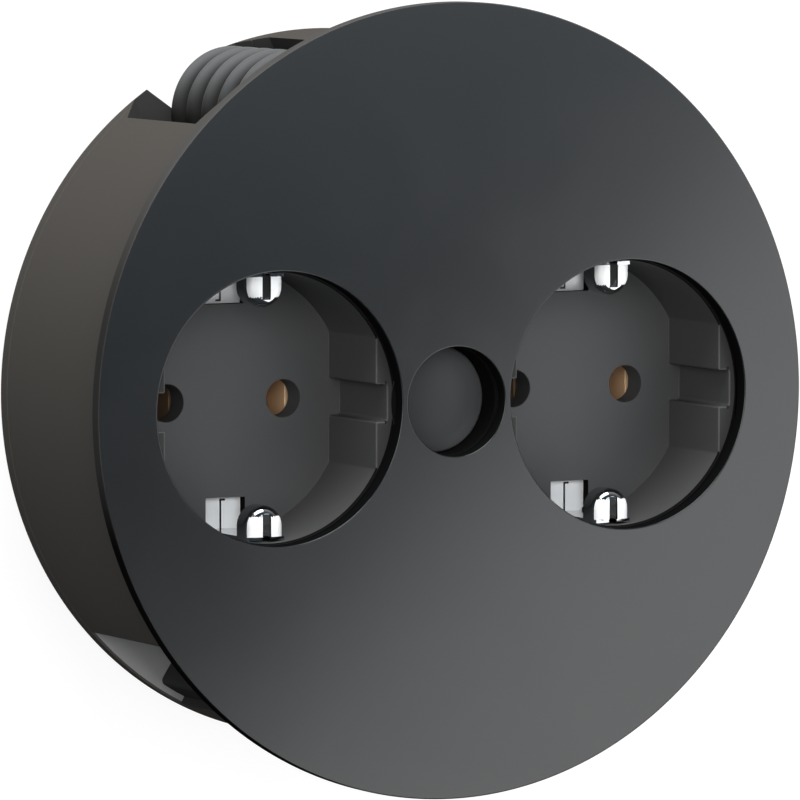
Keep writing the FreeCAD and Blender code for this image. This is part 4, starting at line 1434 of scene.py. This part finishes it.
@dataclass
class EarthYoke(Piece):
    """Earth yoke of one well: a bent strip with a domed, slit spring at each end."""

    side: Side = Side.LEFT
    strip: float = 0.5
    thumb: float = 3.03
    thumb_centre: float = 17.23
    shell_back: float = 22.0
    front: float = 38.3
    height: float = 3.6
    crown: float = 1.7
    slit: float = 0.68
    slit_start: float = 15.4
    back_half: float = 5.0
    blade: tuple = (15.8, 18.65)
    blade_depth: float = 1.0
    riser_outer: float = 19.2
    riser_drop: float = 0.2
    riser_edge: float = 0.3
    strap_half: float = 3.3
    strap_low: float = 23.1
    strap_inset: float = 0.9
    tail: float = 1.0
    groove: tuple = (14.45, 18.7)
    groove_half: float = 0.15
    hook_reach: float = 0.75
    hook_before: float = 0.1
    hook_after: float = 0.2

    def spring_shell(self, shrink: float, low: float) -> Shape:
        """Domed prism over a plan with a half-round nose.

        With t from 0 to 90 degrees and b = crown - shrink, its front edge is a quarter circle at
        front - crown + b * sin t, offset by -shrink - b * (1 - cos t).

        Args:
            shrink: how far it lies inside the spring's outside.
            low: height of its underside.

        Returns:
            The solid.
        """
        nose = arc(self.thumb, 180.0, 360.0, 41, (0.0, self.thumb_centre))
        outline = np.vstack((nose, [(self.thumb, self.shell_back), (-self.thumb, self.shell_back)]))
        t = np.radians(np.linspace(0.0, 90.0, 10))
        bend = self.crown - shrink
        dome = np.column_stack((self.front - self.crown + bend * np.sin(t),
                                -shrink - bend * (1.0 - np.cos(t))))
        return loft(outline, np.vstack(([(low, -shrink)], dome)))

    def spring(self) -> Shape:
        """One spring with its slit, open behind, and the riser that carries it.

        Returns:
            The spring.
        """
        low = self.front - self.height
        under, over = low - OVERCUT, self.front + OVERCUT
        back = self.riser_outer - self.strip
        past = self.shell_back + OVERCUT
        outline = box_outline(-self.thumb, self.thumb, self.strap_low, self.front - self.riser_drop,
                              self.riser_edge)
        steps = [(Step.CUT, self.spring_shell(self.strip, under)),
                 (Step.CUT, block(-self.back_half, self.back_half, back, past, under, over)),
                 (Step.ADD, prism(outline, back - TOUCH, self.riser_outer, Axis.Y)),
                 (Step.CUT, block(-self.slit, self.slit, self.slit_start, past, under, over))]
        return as_shape(carve(self.spring_shell(0.0, low), steps))

    def takes_painted_reflection(self, faces: Faces) -> np.ndarray:
        """Tells which faces are the strap's upper side or the front of a spring's blades, which take the
        painted reflection.

        Args:
            faces: the faces.

        Returns:
            True for each of them.
        """
        low, high = self.blade
        strap = faces.height() < self.strap_low + self.strip + self.hook_before
        blades = ((faces.height() > self.front - self.blade_depth)
                  & (faces.along() > low) & (faces.along() < high))
        return (strap | blades) & (faces.lift() > UPRIGHT)

    def build(self) -> None:
        """Joins both springs with the strap behind the well's floor and shows the yoke."""
        spring = self.spring()
        top = self.strap_low + self.strip
        under, over = self.strap_low - OVERCUT, top + OVERCUT
        reach = self.riser_outer
        inner, outer = self.groove
        tail = block(-self.thumb, self.thumb, reach - self.tail, reach, self.strap_low, top)
        slot = block(-self.groove_half, self.groove_half, inner, outer, under, over)
        hook = block(-self.hook_reach, self.groove_half, inner - self.hook_before, inner + self.hook_after,
                     under, over)
        half = reach - self.strap_inset
        strap = prism(box_outline(-self.strap_half, self.strap_half, -half, half), self.strap_low, top)
        at = (self.side.middle(), 0.0, 0.0)
        steps = []
        for degrees in (0.0, 180.0):
            for kind, shape in ((Step.ADD, tail), (Step.ADD, spring), (Step.CUT, slot), (Step.CUT, hook)):
                steps.append((kind, shape.placed(degrees=degrees).placed(at)))
        self.show(self.side.node("earth_yoke"), carve(strap.placed(at), steps), CHROME, sharp=40.0,
                  patches=((CHROME_PAINTED_REFLECTION, self.takes_painted_reflection),))


@dataclass
class ContactJaw(Piece):
    """Folded copper jaw for one plug pin: two leaves that pinch in and flare at the mouth."""

    node: str = "line_contact_left"
    x: float = 0.0
    low: float = 5.6
    finish: Finish = COPPER
    leaf: float = 0.6
    half: float = 2.35
    knee: float = 2.0
    pinch: float = 0.35
    flare: float = 0.3
    top: float = 20.5
    pinch_drop: float = 4.0
    width: float = 6.0
    rounds: tuple = (0.3, 0.5, 0.9, 0.1, 0.1, 1.2, 0.8, 0.8)

    def build(self) -> None:
        """Draws the jaw's section, rounded corner by corner, out to its width and shows it."""
        inner = [(self.half, self.low + self.leaf), (self.half, self.low + self.leaf + self.knee),
                 (self.half - self.pinch, self.top - self.pinch_drop), (self.half + self.flare, self.top)]
        outer = [(x + self.leaf, z) for x, z in inner[::-1]]
        outer[-1] = (self.half + self.leaf, self.low)
        left = [(-x, z) for x, z in (inner + outer)[::-1]]
        section = eased(inner + outer + left, self.rounds + self.rounds[::-1])
        shape = prism(section, -self.width / 2.0, self.width / 2.0, Axis.Y).placed((self.x, 0.0, 0.0))
        self.show(self.node, write_mesh("jaw", shape), self.finish)


@dataclass
class CableSleeve(Piece):
    """Ribbed rubber sleeve in the cable bay; its outer side follows the drum."""

    groove_radius: float = 7.0
    rib_radius: float = 9.8
    rib_power: float = 1.4
    pitch: float = 4.8
    tip: float = 2.6
    neck: float = 6.2
    collar: float = 7.0
    top: float = 29.5
    reach_low: float = 54.8
    reach_high: float = 50.6
    limit_top: float = 40.0

    def ribs(self) -> np.ndarray:
        """Outside of the sleeve.

        The radius is groove + (rib - groove) * cos(pi * s / 2) ^ power, where s runs from -1 to 1 over
        each pitch.

        Returns:
            Array of (radius, height) rows.
        """
        height = np.linspace(self.tip, BAY_CEILING, 200)
        phase = np.mod(height - self.tip, self.pitch) / self.pitch * 2.0 - 1.0
        swell = np.clip(np.cos(phase * math.pi / 2.0), 0.0, 1.0) ** self.rib_power
        radius = self.groove_radius + (self.rib_radius - self.groove_radius) * swell
        return np.column_stack((radius, height))

    def build(self) -> None:
        """Turns the sleeve, trims what would stand out of the drum and shows it."""
        head = [(self.neck, BAY_CEILING), (self.neck, BAY_ROOF), (self.collar, BAY_ROOF),
                (self.collar, self.top), (SLEEVE_BORE, self.top)]
        profile = np.vstack(([(SLEEVE_BORE, self.tip)], self.ribs(), head))
        ring = turned(profile, SLEEVE_AT, count=192, ring=True)
        limit = turned([(self.reach_low, 0.0), (self.reach_low, BAY_CEILING + TOUCH),
                        (self.reach_high, BAY_CEILING + 2.0 * TOUCH), (self.reach_high, self.limit_top)],
                       count=384)
        self.show("cable_sleeve", carve(ring, [(Step.KEEP, limit)]), SLEEVE_RUBBER, sharp=45.0)


# Setting

@dataclass(frozen=True)
class Softbox:
    """Flat rectangular lamp, equally bright all over its face.

    Its places and sizes are in metres and its roll in radians.
    """

    name: str
    centre: tuple
    target: tuple
    width: float
    height: float
    brightness: float
    colour: tuple = (1.0, 1.0, 1.0)
    roll: float = 0.0

    def build(self) -> None:
        """Puts the lamp in the scene, aimed at its target and rolled about its own beam."""
        lamp = bpy.data.lights.new(self.name, "AREA")
        lamp.shape = "RECTANGLE"
        lamp.size = self.width
        lamp.size_y = self.height
        lamp.energy = self.brightness * math.pi * self.width * self.height
        lamp.color = self.colour
        thing = bpy.data.objects.new(self.name, lamp)
        bpy.context.scene.collection.objects.link(thing)
        beam = Vector(self.target) - Vector(self.centre)
        turn = beam.to_track_quat("-Z", "Y").to_matrix().to_4x4()
        thing.matrix_world = Matrix.Translation(self.centre) @ turn @ Matrix.Rotation(self.roll, 4, "Z")


@dataclass
class Studio:
    """Plain pale floor, soft lamps, a dim overcast world and the camera.

    Places and sizes are in metres, the lens and its film in millimetres and the angles in degrees. The
    world changes with the height of a direction, and with how far it points towards the bright side.
    """

    floor_radius: float = 4.0
    floor_points: int = 64
    floor_drop: float = 0.00002
    floor_grey: float = 0.20
    floor_white: float = 0.86
    floor_roughness: float = 0.9
    zenith: tuple = (0.055, 0.072, 0.086)
    zenith_from: float = 0.15
    zenith_full: float = 0.8
    bright_side: tuple = (0.55, 0.55, 0.55)
    dark_side: tuple = (0.05, 0.05, 0.05)
    towards_bright: tuple = (-0.25, 0.97, 0.0)
    bright_from: float = -0.4
    bright_full: float = 0.8
    yaw: float = 28.38
    pitch: float = 4.59
    camera_at: tuple = (-0.5658, 0.0946, 1.0727)
    focal: float = 367.245
    film: float = 36.0
    clip: tuple = (0.01, 20.0)
    lamps: tuple = field(default_factory=lambda: (
        Softbox("key_box", (0.334, -0.206, 0.243), (0.334, -0.206, 0.0), 0.332, 0.559, 3.03, roll=0.765),
        Softbox("high_box", (0.432, 0.309, 1.043), (0.432, 0.309, 0.0), 0.603, 0.603, 2.1, (0.86, 0.94, 1.0)),
        Softbox("top_box", (-0.20, 0.24, 1.10), (0.0, 0.0, 0.03), 0.5, 0.5, 2.2),
        Softbox("left_box", (-0.66, 0.18, 1.0), (0.0, 0.0, 0.03), 0.6, 0.6, 5.0),
        Softbox("side_box", (-0.08, 0.60, 0.24), (0.0, 0.0, 0.02), 0.5, 0.36, 8.0),
    ))

    def floor(self) -> None:
        """Round floor at the module's feet, white to the eye and grey to the light that falls on it."""
        count = self.floor_points
        angle = np.linspace(0.0, 2.0 * np.pi, count, endpoint=False)
        edge = np.column_stack((np.cos(angle), np.sin(angle), np.zeros(count))) * self.floor_radius
        mesh = bpy.data.meshes.new("floor")
        mesh.from_pydata(edge, [], [list(range(count))])
        thing = put_in_scene("floor", mesh)
        thing.location.z = -self.floor_drop
        made = bpy.data.materials.new("pale_floor")
        made.use_nodes = True
        sheet = Sheet(made.node_tree)
        surface = made.node_tree.nodes["Principled BSDF"]
        sheet.fill(surface, Base_Color=(self.floor_grey,) * 3 + (1.0,), Roughness=self.floor_roughness,
                   Specular_IOR_Level=0.0)
        path = sheet.add("ShaderNodeLightPath")
        seen = path.outputs["Is Camera Ray"]
        for key in ("Is Glossy Ray", "Is Transmission Ray"):
            both = sheet.add("ShaderNodeMath", operation="MAXIMUM")
            sheet.tree.links.new(seen, both.inputs[0])
            sheet.tree.links.new(path.outputs[key], both.inputs[1])
            seen = both.outputs["Value"]
        glow = sheet.add("ShaderNodeMath", operation="MULTIPLY")
        sheet.tree.links.new(seen, glow.inputs[0])
        glow.inputs[1].default_value = self.floor_white
        sheet.fill(surface, Emission_Color=(1.0, 1.0, 1.0, 1.0), Emission_Strength=glow.outputs["Value"])
        mesh.materials.append(made)

    def world(self) -> None:
        """World that is dim overhead and, near the horizon, pale on one side and dark on the other."""
        world = bpy.data.worlds.new("overcast")
        bpy.context.scene.world = world
        world.use_nodes = True
        sheet = Sheet(world.node_tree)
        sky = world.node_tree.nodes["Background"]
        direction = sheet.add("ShaderNodeTexCoord").outputs["Generated"]
        parts = sheet.fill(sheet.add("ShaderNodeSeparateXYZ"), Vector=direction)
        lift = sheet.add("ShaderNodeMapRange", interpolation_type="SMOOTHSTEP")
        sheet.fill(lift, Value=parts.outputs["Z"], From_Min=self.zenith_from, From_Max=self.zenith_full)
        facing = sheet.add("ShaderNodeVectorMath", operation="DOT_PRODUCT")
        sheet.tree.links.new(direction, facing.inputs[0])
        facing.inputs[1].default_value = self.towards_bright
        side = sheet.add("ShaderNodeMapRange", interpolation_type="SMOOTHSTEP")
        sheet.fill(side, Value=facing.outputs["Value"], From_Min=self.bright_from, From_Max=self.bright_full)
        horizon = sheet.blend(side.outputs["Result"], self.dark_side, self.bright_side)
        sheet.fill(sky, Color=sheet.blend(lift.outputs["Result"], horizon, self.zenith), Strength=1.0)

    def camera(self) -> None:
        """Camera at the photograph's angle: yaw about the face's upright, then pitch above it."""
        yaw = math.radians(self.yaw)
        pitch = math.radians(self.pitch)
        back = Vector((-math.sin(yaw) * math.cos(pitch), math.sin(pitch), math.cos(yaw) * math.cos(pitch)))
        right = (-back).cross(Vector((0.0, 1.0, 0.0))).normalized()
        up = right.cross(-back)
        lens = bpy.data.cameras.new("camera")
        lens.lens = self.focal
        lens.sensor_width = self.film
        lens.clip_start, lens.clip_end = self.clip
        thing = bpy.data.objects.new("camera", lens)
        bpy.context.scene.collection.objects.link(thing)
        turn = Matrix((right, up, back)).transposed().to_4x4()
        thing.matrix_world = Matrix.Translation(self.camera_at) @ turn
        bpy.context.scene.camera = thing

    def build(self) -> None:
        """Builds the whole setting."""
        self.floor()
        self.world()
        self.camera()
        for lamp in self.lamps:
            lamp.build()
        bpy.context.scene.view_settings.view_transform = "Standard"


def dress_carried_nodes() -> None:
    """Gives each node that keeps its own solid its finish."""
    finishes = {"main_screw": SCREW_STEEL, "claw_screw_left": SCREW_STEEL, "claw_screw_right": SCREW_STEEL,
                "line_bar": COPPER, "neutral_bar": COPPER, "earth_bar": COPPER,
                "terminal_block": TERMINAL_PLASTIC, "cable_clamp": TERMINAL_PLASTIC,
                "contact_base_left": BASE_PLASTIC, "contact_base_right": BASE_PLASTIC,
                "claw_left": CLAW_METAL, "claw_right": CLAW_METAL}
    for node, finish in finishes.items():
        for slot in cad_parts[node].material_slots:
            slot.link = "OBJECT"
            slot.material = finish.material()
        log.info("%s keeps its solid", node)


def build_pieces() -> None:
    """Builds every new piece in order, from the outside in."""
    makers = [TurningCover(), DrumHousing(), RearPlate(), SocketDeck(), CentreCap(), CableSleeve()]
    for side in Side:
        makers += [SocketWell(side=side), EarthYoke(side=side),
                   # The line contacts take the copper's painted shade.
                   ContactJaw(node=side.node("line_contact"), x=side.middle() - PIN_OFFSET,
                              finish=COPPER_PAINTED_SHADE),
                   ContactJaw(node=side.node("neutral_contact"), x=side.middle() + PIN_OFFSET,
                              low=NEUTRAL_LOW)]
    for maker in makers:
        maker.build()


def main() -> None:
    """Builds the setting, the pieces and the finishes."""
    logging.basicConfig(level=logging.INFO, format="%(message)s")
    Studio().build()
    build_pieces()
    dress_carried_nodes()


if __name__ == "__main__":
    main()
